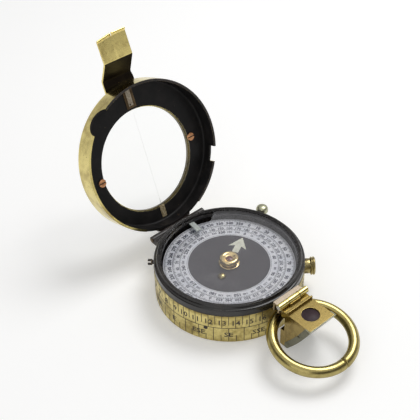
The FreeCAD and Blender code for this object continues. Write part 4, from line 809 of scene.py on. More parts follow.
def blocks_round(bearing: np.ndarray, reach: float, height: float, halves: Point) -> Pair:
    """Small closed blocks that face away from the upright axis, all at once.

    A block at bearing t has its centre at the reach along (cos t, sin t) and at the height. Its
    corners are the centre plus or minus half of each edge; the edges lie along that direction,
    along the tangent and upright.

    Args:
        bearing: Bearing of each block.
        reach: Distance of the centres from the axis.
        height: Height of the centres.
        halves: Half of each edge: outwards, sideways and upwards.

    Returns:
        Corner points and the faces' corner numbers.
    """
    t = np.radians(bearing)
    out = np.stack([np.cos(t), np.sin(t), 0 * t], 1)
    side = np.stack([-np.sin(t), np.cos(t), 0 * t], 1)
    up = np.tile([0, 0, 1.0], (len(t), 1))
    edges = np.stack([out * halves[0], side * halves[1], up * halves[2]], 1)
    signs = np.array([[i, j, k] for k in (-1, 1) for j in (-1, 1) for i in (-1, 1)], float)
    centre = out * reach + np.array([0, 0, height])
    points = centre[:, None] + np.einsum("cs,nsx->ncx", signs, edges)
    sides = np.array(
        [[0, 2, 3, 1], [4, 5, 7, 6], [0, 1, 5, 4], [2, 6, 7, 3], [0, 4, 6, 2], [1, 3, 7, 5]]
    )
    first = 8 * np.arange(len(t))[:, None, None]
    return points.reshape(-1, 3), (sides[None] + first).reshape(-1, 4)


def circle_of_blocks(
    bearing: np.ndarray, steps: int, reach: float, height: float, depths: Flat
) -> Pair:
    """Blocks end to end round the upright axis, each a little longer than its step.

    Args:
        bearing: Bearing of each block.
        steps: Blocks in a full turn.
        reach: Distance of the centres from the axis.
        height: Height of the centres.
        depths: Size of a block outwards and upwards.

    Returns:
        Corner points and the faces' corner numbers.
    """
    overlap = 1.02
    half = reach * math.pi / steps * overlap
    return blocks_round(bearing, reach, height, (depths[0] / 2, half, depths[1] / 2))


class Letters:
    """Flat figures and letters from the built-in font, kept once they are made."""

    def __init__(self, depth: float) -> None:
        """Takes the thickness of the letters in millimetres."""
        self.depth = depth
        self.kept: dict[tuple[str, float], tuple[np.ndarray, list]] = {}

    def shape(self, words: str, weight: float) -> tuple[np.ndarray, list]:
        """The closed mesh of some words, 1 high and centred, with its depth from -1 to 1.

        Args:
            words: What is written.
            weight: How much the strokes are thickened.

        Returns:
            Points and faces.
        """
        key = (words, weight)
        if key in self.kept:
            return self.kept[key]
        curve = bpy.data.curves.new("figure", "FONT")
        curve.body = words
        curve.extrude = 0.05
        curve.offset = weight
        curve.resolution_u = 2
        holder = bpy.data.objects.new("figure", curve)
        bpy.context.scene.collection.objects.link(holder)
        bpy.context.view_layer.update()
        graph = bpy.context.evaluated_depsgraph_get()
        mesh = bpy.data.meshes.new_from_object(holder.evaluated_get(graph))
        bpy.data.objects.remove(holder)
        bpy.data.curves.remove(curve)
        solid = bmesh.new()
        solid.from_mesh(mesh)
        bmesh.ops.remove_doubles(solid, verts=solid.verts, dist=1e-5)
        bmesh.ops.recalc_face_normals(solid, faces=solid.faces)
        solid.to_mesh(mesh)
        solid.free()
        points = np.empty(len(mesh.vertices) * 3)
        mesh.vertices.foreach_get("co", points)
        points = points.reshape(-1, 3)
        faces = [list(face.vertices) for face in mesh.polygons]
        bpy.data.meshes.remove(mesh)
        low, high = points.min(0), points.max(0)
        points = (points - (low + high) / 2) / (high[1] - low[1])
        points[:, 2] = np.sign(points[:, 2])
        self.kept[key] = (points, faces)
        return self.kept[key]


@dataclass
class Engraving:
    """Gathers bars and lettering into one piece."""

    letters: Letters
    points: list[np.ndarray] = field(default_factory=list)
    faces: list[list[int]] = field(default_factory=list)
    count: int = 0

    def add(self, points: np.ndarray, faces: np.ndarray | list) -> None:
        """Adds one closed shape.

        Args:
            points: Its points.
            faces: Corner numbers of each face.
        """
        self.points.append(points)
        self.faces.extend([[corner + self.count for corner in face] for face in faces])
        self.count += len(points)

    def write(
        self, words: str, size: Flat, weight: float, lay: Callable[..., np.ndarray],
        *where: float,
    ) -> None:
        """Adds some words.

        Args:
            words: What is written.
            size: Height of the letters, and their width as a share of the font's own.
            weight: How much the strokes are thickened.
            lay: Method that takes letter points, in millimetres, to where they go.
            where: What the method gets besides the points.
        """
        points, faces = self.letters.shape(words, weight)
        height, width = size
        scale = np.array([height * width, height, self.letters.depth / 2])
        self.add(lay(points * scale, *where), faces)

    def piece(self, name: str) -> bpy.types.Object:
        """All that was gathered, as one object with flat faces.

        Args:
            name: The piece's name.

        Returns:
            The new object.
        """
        made = new_piece(name, np.concatenate(self.points), self.faces)
        made.data.shade_flat()
        return made


class Dresser:
    """Makes finished copies of CAD nodes and sets pieces on their bodies.

    Edges sharper than SHARP are rounded and those under FLAT joined, in degrees. Points nearer
    than WELD, in metres, are merged.
    """

    SHARP = 32.0
    WELD = 1e-6
    FLAT = 0.4

    def __init__(self, frame: dict, paints: Paints) -> None:
        """Takes the loaded frame and the paints."""
        self.nodes = frame["nodes"]
        self.paints = paints

    def settle(
        self, piece: bpy.types.Object, body: Body, slot: Slot, finishes: list[str], *nodes: str
    ) -> None:
        """Gives a new piece its finishes, its body and the nodes that it stands for.

        Args:
            piece: The new piece, in place.
            body: The body that it rides on.
            slot: The record's slot that its finish comes from; not used.
            finishes: Names of its finishes, one for each material number.
            nodes: CAD nodes that it replaces.
        """
        for name in finishes:
            piece.data.materials.append(self.paints[name])
        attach(piece, body.value)
        if nodes:
            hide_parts(*nodes)
        LOG.info("%s on %s, %d faces", piece.name, body.value, len(piece.data.polygons))

    def rounded(self, source: bpy.types.Mesh, name: str, width: float) -> bpy.types.Object:
        """Copies a mesh as a clean one with rounded outer edges.

        Doubled corners are merged, flat triangles joined, and each convex edge sharper than
        SHARP gets a narrow round, whose faces are marked as worn.

        Args:
            source: The mesh.
            name: Name of the new piece.
            width: Width of the rounded edges; 0 leaves them sharp.

        Returns:
            The new object.
        """
        limit = math.radians(self.SHARP)
        shape = bmesh.new()
        shape.from_mesh(source)
        bmesh.ops.remove_doubles(shape, verts=shape.verts, dist=self.WELD)
        flat = math.radians(self.FLAT)
        bmesh.ops.dissolve_limit(shape, angle_limit=flat, verts=shape.verts, edges=shape.edges)
        layer = shape.faces.layers.float.new("edge")
        if width:
            pairs = [e for e in shape.edges if len(e.link_faces) == 2 and e.is_convex]
            outer = [e for e in pairs if e.calc_face_angle(0.0) > limit]
            rounds = bmesh.ops.bevel(
                shape, geom=outer, offset=width * MM, segments=2, profile=0.6, affect="EDGES",
                clamp_overlap=True,
            )
            for face in rounds["faces"]:
                face[layer] = 1.0
        mesh = bpy.data.meshes.new(name)
        shape.to_mesh(mesh)
        shape.free()
        mesh.shade_smooth()
        mesh.set_sharp_from_angle(angle=limit)
        piece = bpy.data.objects.new(mesh.name, mesh)
        bpy.context.scene.collection.objects.link(piece)
        weigh_normals(piece)
        return piece

    def eased(self, raw: bpy.types.Object, name: str, width: float) -> bpy.types.Object:
        """Puts a copy with rounded outer edges in the place of a raw piece.

        Args:
            raw: The raw piece, which is removed.
            name: Name of the new piece.
            width: Width of the rounded edges.

        Returns:
            The new object.
        """
        piece = self.rounded(raw.data, name, width)
        bpy.data.objects.remove(raw)
        return piece

    def copy(self, node: str, width: float) -> bpy.types.Object:
        """Copies a CAD node with rounded outer edges."""
        return self.rounded(self.nodes[node].data, node + "_finished", width)

    def dress(self, node: str, body: Body, slot: Slot, finish: str, width: float) -> None:
        """Replaces a CAD node by a finished copy in one finish."""
        self.settle(self.copy(node, width), body, slot, [finish], node)


def face_places(mesh: bpy.types.Mesh) -> Pair:
    """Finds where a mesh's faces are and where they face.

    Args:
        mesh: The mesh.

    Returns:
        Centres, in millimetres, and normals of the faces.
    """
    centres, normals = np.empty((2, len(mesh.polygons) * 3))
    mesh.polygons.foreach_get("center", centres)
    mesh.polygons.foreach_get("normal", normals)
    return centres.reshape(-1, 3) / MM, normals.reshape(-1, 3)


def paint_faces(mesh: bpy.types.Mesh, numbers: np.ndarray) -> None:
    """Gives each face of a mesh its material number."""
    mesh.polygons.foreach_set("material_index", np.ascontiguousarray(numbers, dtype=np.int32))
    mesh.update()


# Sub-assemblies


@dataclass
class Drum:
    """The drum case with its hinge leaf, bracket and brake bush.

    The barrel of the prism's hinge has its y, its z and its radius, and two seams round it.
    """

    dresser: Dresser
    radius: float = 28.4
    bore: float = 27.2
    floor_top: float = 1.0
    pin_bearing: float = -150.0
    pin_height: float = 6.7
    pin_outline: tuple[Flat, ...] = (
        (0, -0.3), (0.8, -0.3), (0.8, 0.1), (0.6, 0.14), (0.45, 0.02), (0, 0.0),
    )
    barrel: Point = (-33.05, 18.7, 1.25)
    seams: Flat = (-2.45, 2.75)
    seam: tuple[Flat, ...] = ((1.0, -0.13), (1.24, -0.13), (1.24, 0.13), (1.0, 0.13))
    slack: float = 0.05

    def on_barrel(self, piece: bpy.types.Object) -> np.ndarray:
        """Finds the faces of a piece that lie on the knuckles of the prism's hinge.

        Args:
            piece: The piece.

        Returns:
            For each face whether it lies there.
        """
        centres, _ = face_places(piece.data)
        y, z, radius = self.barrel
        return np.hypot(centres[:, 1] - y, centres[:, 2] - z) < radius

    def build(self) -> None:
        """Dresses the case and what is fixed to it."""
        case = self.dresser.copy("drum_case", 0.07)
        centres, _ = face_places(case.data)
        reach = np.hypot(centres[:, 0], centres[:, 1])
        within = (reach < self.bore + self.slack) & (centres[:, 2] > self.floor_top - self.slack)
        paint_faces(case.data, within)
        settle, dress = self.dresser.settle, self.dresser.dress
        settle(case, Body.ROOT, Slot.BRASS, ["wall_brass", "inside"], "drum_case")
        pin = turned("wall_pin", self.pin_outline, 0.05, 32)
        out = outward(self.pin_bearing)
        lean(pin, out * self.radius + np.array([0, 0, self.pin_height]), out)
        settle(pin, Body.ROOT, Slot.BRASS, ["hinge_black"])
        dress("drum_hinge_leaf", Body.ROOT, Slot.BRASS, "hinge_black", 0.1)
        dress("drum_leaf_rivets", Body.ROOT, Slot.BRASS, "hinge_black", 0.04)
        bracket = self.dresser.copy("prism_bracket", 0.08)
        paint_faces(bracket.data, self.on_barrel(bracket))
        settle(bracket, Body.ROOT, Slot.BRASS, ["pink_brass", "barrel_brass"], "prism_bracket")
        for number, x in enumerate(self.seams):
            seam = turned("barrel_seam_%d" % number, self.seam, 0.03, 32)
            lean(seam, (x, *self.barrel[:2]), (1, 0, 0))
            settle(seam, Body.ROOT, Slot.BRASS, ["enamel"])
        dress("bracket_screws", Body.ROOT, Slot.STEEL, "steel", 0.04)
        dress("brake_bush", Body.ROOT, Slot.BRASS, "knob_brass", 0.08)
        for node in ("pivot_post", "brake_pivot_post", "lifter_block"):
            dress(node, Body.ROOT, Slot.BRASS, "brass", 0.05)
        for node in (
            "post_screws", "pivot_point", "bezel_snap_ring", "lifter_pin", "prism_hinge_pin",
        ):
            dress(node, Body.ROOT, Slot.STEEL, "steel", 0.03)
        dress("lid_hinge_pin", Body.ROOT, Slot.STEEL, "brown_brass", 0.06)


@dataclass
class BearingScale:
    """The engraved and filled scale band round the drum's wall.

    Tens of degrees are numbered in the upper row, and the points of the compass stand in the
    lower one. Both start at the hinge and grow in the sense of the bearing. A covered stretch
    has the bearing and half the width of a fitting on the wall.
    """

    dresser: Dresser
    radius: float = 28.4
    depth: float = 0.05
    top: float = 13.35
    middle: float = 7.4
    bottom: float = 0.75
    line: float = 0.26
    circle_steps: int = 360
    short_gap: float = 1.7
    short_rise: float = 3.0
    figure_size: Flat = (2.4, 1.0)
    figure_weight: float = 0.018
    figure_gap: float = 1.8
    figure_rise: float = 2.7
    figure_spare: float = 2.5
    letter_size: Flat = (2.25, 1.15)
    letter_weight: float = 0.015
    letter_drop: float = 3.3
    letter_spare: float = 3.5
    start_bearing: float = 92.0
    covered: tuple[Flat, ...] = ((-90.0, 13.5), (90.0, 29.0), (-40.0, 6.5))
    points: tuple[str, ...] = (
        "N", "NNE", "NE", "ENE", "E", "ESE", "SE", "SSE",
        "S", "SSW", "SW", "WSW", "W", "WNW", "NW", "NNW",
    )

    def clear(self, bearing: np.ndarray | float, spare: float = 0.0) -> np.ndarray:
        """Finds the bearings that no fitting covers.

        Args:
            bearing: The bearings.
            spare: Degrees to spare beside a fitting.

        Returns:
            For each bearing whether it is free.
        """
        free = np.ones(np.shape(bearing), bool)
        for middle, half in self.covered:
            away = np.abs((np.asarray(bearing) - middle + 180) % FULL_TURN - 180)
            free &= away > half + spare
        return free

    def free(self, start: float, count: int) -> np.ndarray:
        """Bearings from a start in equal steps, without those that a fitting covers."""
        bearing = start + np.arange(count) * FULL_TURN / count
        return bearing[self.clear(bearing)]

    def ticks(self, count: int, shift: float, low: float, high: float) -> Pair:
        """Upright lines round the wall, where it is free.

        Args:
            count: Lines in a full turn.
            shift: Place of the first one, in steps past the start of the scale.
            low: Lower end.
            high: Upper end.

        Returns:
            Points and faces of all the lines.
        """
        bearing = self.free(self.start_bearing + shift * FULL_TURN / count, count)
        halves = (self.depth / 2, self.line / 2, (high - low) / 2)
        return blocks_round(bearing, self.radius, (low + high) / 2, halves)

    def on_wall(self, points: np.ndarray, bearing: float, height: float) -> np.ndarray:
        """Lays letters on the wall.

        A letter point (x, y, z) goes to bearing + x / R round the wall, to height + y, and z
        out from it.

        Args:
            points: Letter points.
            bearing: Where the middle of the letters stands.
            height: Height of their middle.

        Returns:
            The points on the wall.
        """
        t = math.radians(bearing) + points[:, 0] / self.radius
        reach = self.radius + points[:, 2]
        return np.stack([reach * np.cos(t), reach * np.sin(t), height + points[:, 1]], 1)

    def build(self) -> None:
        """Cuts the lines, the figures of the upper row and the letters of the lower one."""
        scale = Engraving(Letters(self.depth))
        winds = 2 * len(self.points)
        scale.add(*self.ticks(TENS, 0.0, self.middle, self.top))
        scale.add(*self.ticks(TENS, 0.5, self.middle + self.short_gap, self.top))
        scale.add(*self.ticks(winds, 0.0, self.bottom, self.middle))
        scale.add(*self.ticks(winds, 0.5, self.bottom, self.bottom + self.short_rise))
        depths, steps = (self.depth, self.line), self.circle_steps
        bearing = self.free(0.0, steps)
        scale.add(*circle_of_blocks(bearing, steps, self.radius, self.middle, depths))
        height = self.middle + self.figure_rise
        for tens in range(1, TENS + 1):
            bearing = self.start_bearing + 10 * tens
            if self.clear(bearing, self.figure_spare):
                for side, figure in zip((1, -1), reversed(str(tens))):
                    place = bearing + side * self.figure_gap
                    scale.write(
                        figure, self.figure_size, self.figure_weight, self.on_wall, place, height
                    )
        height = self.middle - self.letter_drop
        for number, words in enumerate(self.points):
            bearing = self.start_bearing + number * FULL_TURN / len(self.points)
            if self.clear(bearing, self.letter_spare):
                scale.write(
                    words, self.letter_size, self.letter_weight, self.on_wall, bearing, height
                )
        piece = scale.piece("bearing_scale")
        self.dresser.settle(piece, Body.ROOT, Slot.BRASS, ["enamel"])


@dataclass
class Bezel:
    """The black turning bezel with its glass, retaining ring and index.

    The groove, the band and the shelf each have a radius, a lower and an upper end.
    """

    dresser: Dresser
    spigot_inner: float = 26.3
    spigot_outer: float = 27.15
    spigot_bottom: float = 11.2
    groove: Point = (26.65, 12.2, 12.7)
    band: Point = (28.3, 13.55, 15.95)
    cove_start: Flat = (28.0, 16.25)
    cove_end: Flat = (26.95, 17.15)
    cove_radius: float = 1.15
    cove_steps: int = 9
    lip_top: float = 17.6
    glass_bore: float = 26.25
    shelf: Point = (25.35, 15.0, 16.2)
    softness: float = 0.16

    def cove(self) -> np.ndarray:
        """The concave arc between the band and the lip.

        Its centre lies outside the metal, at the arc's radius from both ends.

        Returns:
            The arc's points, from the band up.
        """
        start, end = np.array(self.cove_start), np.array(self.cove_end)
        chord = end - start
        length = np.linalg.norm(chord)
        away = np.array([chord[1], -chord[0]]) / length
        centre = (start + end) / 2 + away * math.sqrt(self.cove_radius**2 - length**2 / 4)
        first = math.atan2(*(start - centre)[::-1])
        last = math.atan2(*(end - centre)[::-1])
        t = np.linspace(first, last, self.cove_steps)
        return centre + self.cove_radius * np.stack([np.cos(t), np.sin(t)], 1)

    def outline(self) -> np.ndarray:
        """The bezel's section, anticlockwise from the foot of its spigot.

        Returns:
            Radius and height of each corner.
        """
        floor, low, high = self.groove
        band, band_low, band_high = self.band
        shelf, shelf_low, shelf_high = self.shelf
        lower = [
            (self.spigot_inner, self.spigot_bottom), (self.spigot_outer, self.spigot_bottom),
            (self.spigot_outer, low), (floor, low), (floor, high), (self.spigot_outer, high),
            (self.spigot_outer, band_low), (band, band_low), (band, band_high),
        ]
        upper = [
            (self.cove_end[0], self.lip_top), (self.glass_bore, self.lip_top),
            (self.glass_bore, shelf_high), (shelf, shelf_high), (shelf, shelf_low),
            (self.spigot_inner, shelf_low),
        ]
        return np.concatenate([lower, self.cove(), upper])

    def build(self) -> None:
        """Turns the bezel and dresses what it carries."""
        bezel = turned("bezel_turned", self.outline(), self.softness)
        self.dresser.settle(bezel, Body.BEZEL, Slot.LACQUER, ["bezel_black"], "bezel_ring")
        dress = self.dresser.dress
        dress("bezel_glass", Body.BEZEL, Slot.GLASS, "glass", 0.06)
        dress("glass_retainer", Body.BEZEL, Slot.LACQUER, "bezel_black", 0.05)
        dress("index_strip", Body.BEZEL, Slot.LUMINOUS, "index_paint", 0.06)


@dataclass
class Card:
    """The floating dial with its print, arrow, cap and needle."""

    dresser: Dresser
    ring_top: float = 12.9
    north_bearing: float = 27.0
    print_depth: float = 0.03
    line: float = 0.12
    circle_steps: int = 240
    circles: tuple[float, ...] = (24.5, 21.4, 18.7, 15.9)
    lines: tuple[tuple[float, ...], ...] = (
        (1.0, 23.95, 24.5, 0.1), (5.0, 23.5, 24.5, 0.16), (1.0, 20.75, 21.4, 0.11),
        (5.0, 20.4, 21.4, 0.16), (2.0, 18.2, 19.05, 0.12),
    )
    outer_figures: Point = (22.55, 1.55, 0.05)
    back_figures: Point = (19.65, 1.3, 0.035)
    large_figures: Point = (17.3, 1.5, 0.045)
    small_figures: Point = (17.4, 1.0, 0.03)
    cap_outline: tuple[Flat, ...] = (
        (0.9, 12.9), (4.0, 12.9), (4.0, 13.3), (2.9, 13.5), (2.9, 14.2), (3.6, 14.5),
        (3.78, 15.0), (3.55, 15.6), (3.05, 15.92), (2.4, 15.95), (1.75, 15.6), (1.35, 15.35),
        (0.9, 15.3),
    )
    jewel_outline: tuple[Flat, ...] = (
        (0, 15.0), (1.3, 15.0), (1.25, 15.42), (0.7, 15.6), (0, 15.64),
    )
    weight_place: Flat = (207.0, 7.9)
    weight_outline: tuple[Flat, ...] = (
        (0, 12.9), (1.65, 12.9), (1.65, 13.2), (1.4, 13.6), (0.9, 13.86), (0.4, 13.98), (0, 14.0),
    )

    def on_ring(self, points: np.ndarray, bearing: float, reach: float) -> np.ndarray:
        """Lays figures flat on the ring, with their heads outwards.

        A figure's point (x, y, z) goes x along the tangent, y along the radius and z up.

        Args:
            points: Points of the figures.
            bearing: Where the figures stand.
            reach: Radius of their middle.

        Returns:
            The points on the ring.
        """
        out = outward(bearing)
        side, lift = np.array([out[1], -out[0], 0]), np.array([0, 0, 1.0])
        middle = out * reach + lift * self.ring_top
        return middle + points[:, :1] * side + points[:, 1:2] * out + points[:, 2:] * lift

    def printed(self) -> bpy.types.Object:
        """Prints the ring: lines, circles and three rows of figures.

        Each kind of line has its step in degrees, its inner and outer radius and its width,
        and each row of figures its radius, height and weight. The middle row is read through
        the prism from the other side, so its numbers are half a turn on.

        Returns:
            The print as one piece.
        """
        dial = Engraving(Letters(self.print_depth))
        for step, inner, outer, width in self.lines:
            bearing = self.north_bearing + np.arange(0, FULL_TURN, step)
            halves = ((outer - inner) / 2, width / 2, self.print_depth / 2)
            dial.add(*blocks_round(bearing, (inner + outer) / 2, self.ring_top, halves))
        depths, steps = (self.line, self.print_depth), self.circle_steps
        bearing = np.arange(steps) * FULL_TURN / steps
        for radius in self.circles:
            dial.add(*circle_of_blocks(bearing, steps, radius, self.ring_top, depths))
        for tens in range(TENS):
            inner = self.small_figures if tens % 3 else self.large_figures
            rows = ((0, self.outer_figures), (180, self.back_figures), (0, inner))
            for ahead, (reach, height, weight) in rows:
                words = str((10 * tens + ahead) % 360)
                place = self.north_bearing - 10 * tens
                dial.write(words, (height, 1.0), weight, self.on_ring, place, reach)
        return dial.piece("dial_print")

    def build(self) -> None:
        """Prints the ring and dresses the card."""
        self.dresser.settle(self.printed(), Body.CARD, Slot.PEARL, ["print"])
        dress = self.dresser.dress
        dress("dial_ring", Body.CARD, Slot.PEARL, "pearl", 0.05)
        dress("dial_disc", Body.CARD, Slot.DARK_CARD, "card", 0.05)
        dress("north_arrow", Body.CARD, Slot.LUMINOUS, "luminous", 0.03)
        dress("magnet_needle", Body.CARD, Slot.STEEL, "steel", 0.05)
        self.cap()

    def cap(self) -> None:
        """Turns the cap with its jewel, and the balance weight."""
        settle = self.dresser.settle
        cap = turned("cap_turned", self.cap_outline, 0.2, 96)
        settle(cap, Body.CARD, Slot.BRASS, ["cap_brass"], "card_cap")
        jewel = turned("jewel_turned", self.jewel_outline, 0.1, 48)
        settle(jewel, Body.CARD, Slot.JEWEL, ["jewel"], "jewel")
        weight = turned("weight_turned", self.weight_outline, 0.12, 48)
        bearing, reach = self.weight_place
        lean(weight, outward(bearing) * reach, (0, 0, 1), (0, 1, 0))
        settle(weight, Body.CARD, Slot.BRASS, ["knob_brass"], "balance_weight")


@dataclass
class Controls:
    """The brake button, the lifter with its stud, and the clamp screw.

    The clamp screw's span has the start of its foot, the foot's end and the prongs' end, all
    measured from the upright axis.
    """

    dresser: Dresser
    button_bearing: float = -40.0
    button_height: float = 9.9
    button_outline: tuple[Flat, ...] = (
        (0, 27.4), (1.1, 27.4), (1.1, 31.35), (3.05, 31.35), (3.05, 30.75), (3.3, 30.65),
        (3.5, 30.85), (3.5, 31.15), (3.25, 31.3), (3.25, 31.5), (3.5, 31.65), (3.5, 32.1),
        (3.15, 32.4), (0, 32.45),
    )
    stud_outline: tuple[Flat, ...] = (
        (0, 13.9), (1.2, 13.9), (1.2, 14.4), (2.1, 14.4), (2.38, 14.65), (2.38, 15.9),
        (2.1, 16.6), (1.5, 17.05), (0.75, 17.3), (0, 17.35),
    )
    stud_out: float = 0.4
    clamp_bearing: float = 135.0
    clamp_height: float = 12.2
    clamp_span: Point = (29.1, 29.5, 30.75)
    clamp_start: float = 27.3
    clamp_sunk: float = 0.05
    clamp_radius: float = 1.2
    clamp_shank: float = 0.8
    clamp_slot: float = 0.24
    clamp_side: Point = (0.475, 0.475, 0.739)

    def button(self) -> None:
        """Turns the brake button, whose skirt passes over the bush when it is pressed."""
        button = turned("button_turned", self.button_outline, 0.12, 96)
        lean(button, (0.0, 0.0, self.button_height), outward(self.button_bearing))
        self.dresser.settle(button, Body.BRAKE_KNOB, Slot.BRASS, ["knob_brass"], "brake_button")

    def stud(self) -> None:
        """Turns the lifter stud where the CAD one stands, a little clear of the bezel."""
        low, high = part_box("lifter_stud")
        middle = (low + high) / 2 / MM
        middle *= 1 + self.stud_out / math.hypot(middle.x, middle.y)
        stud = turned("stud_turned", self.stud_outline, 0.3, 64)
        lean(stud, (middle.x, middle.y, 0.0), (0, 0, 1), (0, 1, 0))
        self.dresser.settle(stud, Body.LIFTER, Slot.BRASS, ["stud_brass"], "lifter_stud")

    def clamp(self) -> None:
        """Makes the clamp screw: a shank, a round foot and two prongs with a slot between.

        A prong is the part of a circle beyond the slot's side.
        """
        first, foot, end = self.clamp_span
        edge = math.asin(self.clamp_slot / self.clamp_radius)
        t = np.linspace(edge, math.pi - edge, 20)
        upper = self.clamp_radius * np.stack([np.cos(t), np.sin(t)], 1)
        t = np.linspace(0, 2 * math.pi, 40, endpoint=False)
        circle = np.stack([np.cos(t), np.sin(t)], 1)
        shank, sunk = [circle * self.clamp_shank], self.clamp_sunk
        for name, outlines, low, high, *nodes in (
            ("clamp_prongs", [upper, -upper], foot - sunk, end, "clamp_screw"),
            ("clamp_foot", [circle * self.clamp_radius], first, foot),
            ("clamp_shank", shank, self.clamp_start, first + sunk),
        ):
            piece = self.dresser.eased(prism("raw", outlines, low, high), name, 0.06)
            axis = outward(self.clamp_bearing)
            lean(piece, (0.0, 0.0, self.clamp_height), axis, self.clamp_side)
            self.dresser.settle(piece, Body.CLAMP, Slot.BRASS, ["hinge_black"], *nodes)

    def build(self) -> None:
        """Builds and dresses each control."""
        self.button()
        self.stud()
        self.clamp()
        dress = self.dresser.dress
        dress("brake_arm", Body.BRAKE, Slot.BRASS, "brass", 0.06)
        dress("lifter_lever", Body.LIFTER, Slot.BRASS, "brass", 0.06)
        dress("lifter_spring", Body.LIFTER, Slot.STEEL, "steel", 0.0)


@dataclass
class Lid:
    """The lid, thrown open: brass outside, black inside, with its window and tongue.

    Its sizes are those of the shut lid. The wire has a fine and a thick radius. The tongue's
    corner has how far it falls back, where it starts and its reach, and the slot has half its
    width and its bottom.
    """

    dresser: Dresser
    hinge: Flat = (29.9, 12.34)
    opening: float = 110.2
    cavity: float = 28.5
    ceiling: float = 20.07
    rim: float = 13.6
    bare_rim: float = -9.0
    rim_slack: float = 0.15
    wall_slack: float = 0.12
    ceiling_slack: float = 0.1
    bore_slack: float = 0.6
    facing_down: float = -0.3
    facing_in: float = 0.2
    window: float = 20.35
    window_centre: float = 2.18
    screw_ring: float = 21.9
    screw_head: float = 1.45
    screw_slot: float = 19.6
    wire: Flat = (0.025, 0.09)
    wire_ends: Flat = (-17.5, 22.4)
    wire_swell: Flat = (18.6, 20.6)
    tongue_line: tuple[Flat, ...] = (
        (-48.4, 18.65), (-48.15, 19.2), (-38.6, 18.9), (-31.75, 23.1), (-29.3, 22.6),
        (-24.0, 22.6),
    )
    tongue_width: tuple[Flat, ...] = (
        (-48.4, 6.25), (-38.6, 6.25), (-31.75, 6.4), (-29.6, 6.65), (-24.0, 6.7),
    )
    tongue_sheet: float = 0.8
    tongue_bend: float = 0.6
    tongue_twist: float = -0.026
    tongue_middle: tuple[Flat, ...] = ((-48.4, 0.0), (-38.6, 0.1), (-33.0, -0.5), (-24.0, -0.5))
    tongue_corner: Point = (1.1, -44.0, 4.4)
    tongue_slot: Flat = (0.45, -47.4)
    tongue_within: float = 0.98
    tongue_dark: float = -38.95
    tongue_facing: Flat = (0.5, 0.2)
    mark_place: Point = (-0.35, -20.8, 19.75)
    mark_outline: tuple[Flat, ...] = ((0, -0.1), (0.4, -0.1), (0.4, 0.05), (0, 0.08))

    def closed(self, points: np.ndarray, centre: bool = True) -> np.ndarray:
        """Turns points or directions of the open lid back to the shut one.

        With u and v measured from the hinge and a the opening, y' = u cos a - v sin a and
        z' = u sin a + v cos a.

        Args:
            points: Points or directions.
            centre: False for directions.

        Returns:
            The same points or directions on the shut lid.
        """
        return self.swung(points, math.radians(self.opening), centre)

    def opened(self, points: np.ndarray, centre: bool = True) -> np.ndarray:
        """Turns points or directions of the shut lid to where the open one has them."""
        return self.swung(points, -math.radians(self.opening), centre)

    def swung(self, points: np.ndarray, a: float, centre: bool) -> np.ndarray:
        """Turns points or directions about the hinge, as closed says.

        Args:
            points: Points or directions.
            a: The angle, in radians.
            centre: False for directions.

        Returns:
            The turned points or directions.
        """
        y0, z0 = self.hinge if centre else (0.0, 0.0)
        u, v = points[:, 1] - y0, points[:, 2] - z0
        y = y0 + u * math.cos(a) - v * math.sin(a)
        z = z0 + u * math.sin(a) + v * math.cos(a)
        return np.stack([points[:, 0], y, z], 1)

    def faces_shut(self, piece: bpy.types.Object) -> Pair:
        """Face centres and normals of a piece, as they are on the shut lid."""
        centres, normals = face_places(piece.data)
        return self.closed(centres), self.closed(normals, centre=False)

    def shell(self) -> None:
        """Dresses the shell.

        Inside faces are black. The rim's edge is worn black lacquer, with bright bare brass on its
        left side as a painted highlight. The window's edge is dull brass, with the flat outside
        face, whose centre is in the window. The wall is bright.
        """
        shell = self.dresser.copy("lid_shell", 0.1)
        centres, normals = self.faces_shut(shell)
        reach = np.hypot(centres[:, 0], centres[:, 1])
        inwards = -(centres[:, 0] * normals[:, 0] + centres[:, 1] * normals[:, 1]) / reach
        below = normals[:, 2] < self.facing_down
        from_window = np.hypot(centres[:, 0], centres[:, 1] - self.window_centre)
        dull = (from_window < self.window + self.bore_slack) & ~below
        wall = (inwards > self.facing_in) & (reach > self.window)
        wall &= reach < self.cavity + self.wall_slack
        cavity = (below | wall) & (centres[:, 2] < self.ceiling + self.ceiling_slack)
        rim = centres[:, 2] < self.rim + self.rim_slack
        # Painted highlight: the rim's faces on the left side, x below bare_rim, are bright bare
        # brass.
        bare = centres[:, 0] < self.bare_rim
        looks = np.select([rim & bare, rim, dull, cavity], [0, 2, 3, 1])
        paint_faces(shell.data, looks)
        finishes = ["lid_brass", "lid_black", "rim_black", "bore_brass"]
        self.dresser.settle(shell, Body.LID, Slot.BRASS, finishes, "lid_shell")

    def screws(self) -> None:
        """Dresses the two window screws and paints shade into their slots."""
        screws = self.dresser.copy("lid_screws", 0.08)
        centres, _ = self.faces_shut(screws)
        aside = np.abs(centres[:, 0]) - self.screw_ring
        reach = np.hypot(aside, centres[:, 1] - self.window_centre)
        # Painted shade: the slot faces, near each screw's axis and above screw_slot, take the dark
        # fill.
        paint_faces(screws.data, (reach < self.screw_head) & (centres[:, 2] > self.screw_slot))
        self.dresser.settle(screws, Body.LID, Slot.COPPER, ["copper", "enamel"], "lid_screws")

    def sighting_wire(self) -> None:
        """Draws the sighting wire, fine across the window and thicker at its foot.

        Its radius grows from the fine to the thick one by s s (3 - 2 s), where s is how far a
        point is through the swell.
        """
        y = np.linspace(*self.wire_ends, 48)
        (fine, thick), (start, end) = self.wire, self.wire_swell
        share = np.clip((y - start) / (end - start), 0, 1)
        radius = fine + (thick - fine) * share * share * (3 - 2 * share)
        height = np.full_like(y, self.ceiling - thick)
        path = self.opened(np.stack([0 * y, y, height], 1))
        across = np.tile([1.0, 0, 0], (len(y), 1))
        above = self.opened(np.tile([0, 0, -1.0], (len(y), 1)), centre=False)
        wire = tube("sighting_wire", path, across, above, radius, 10)
        self.dresser.settle(wire, Body.LID, Slot.STEEL, ["steel"], "lid_hairline")

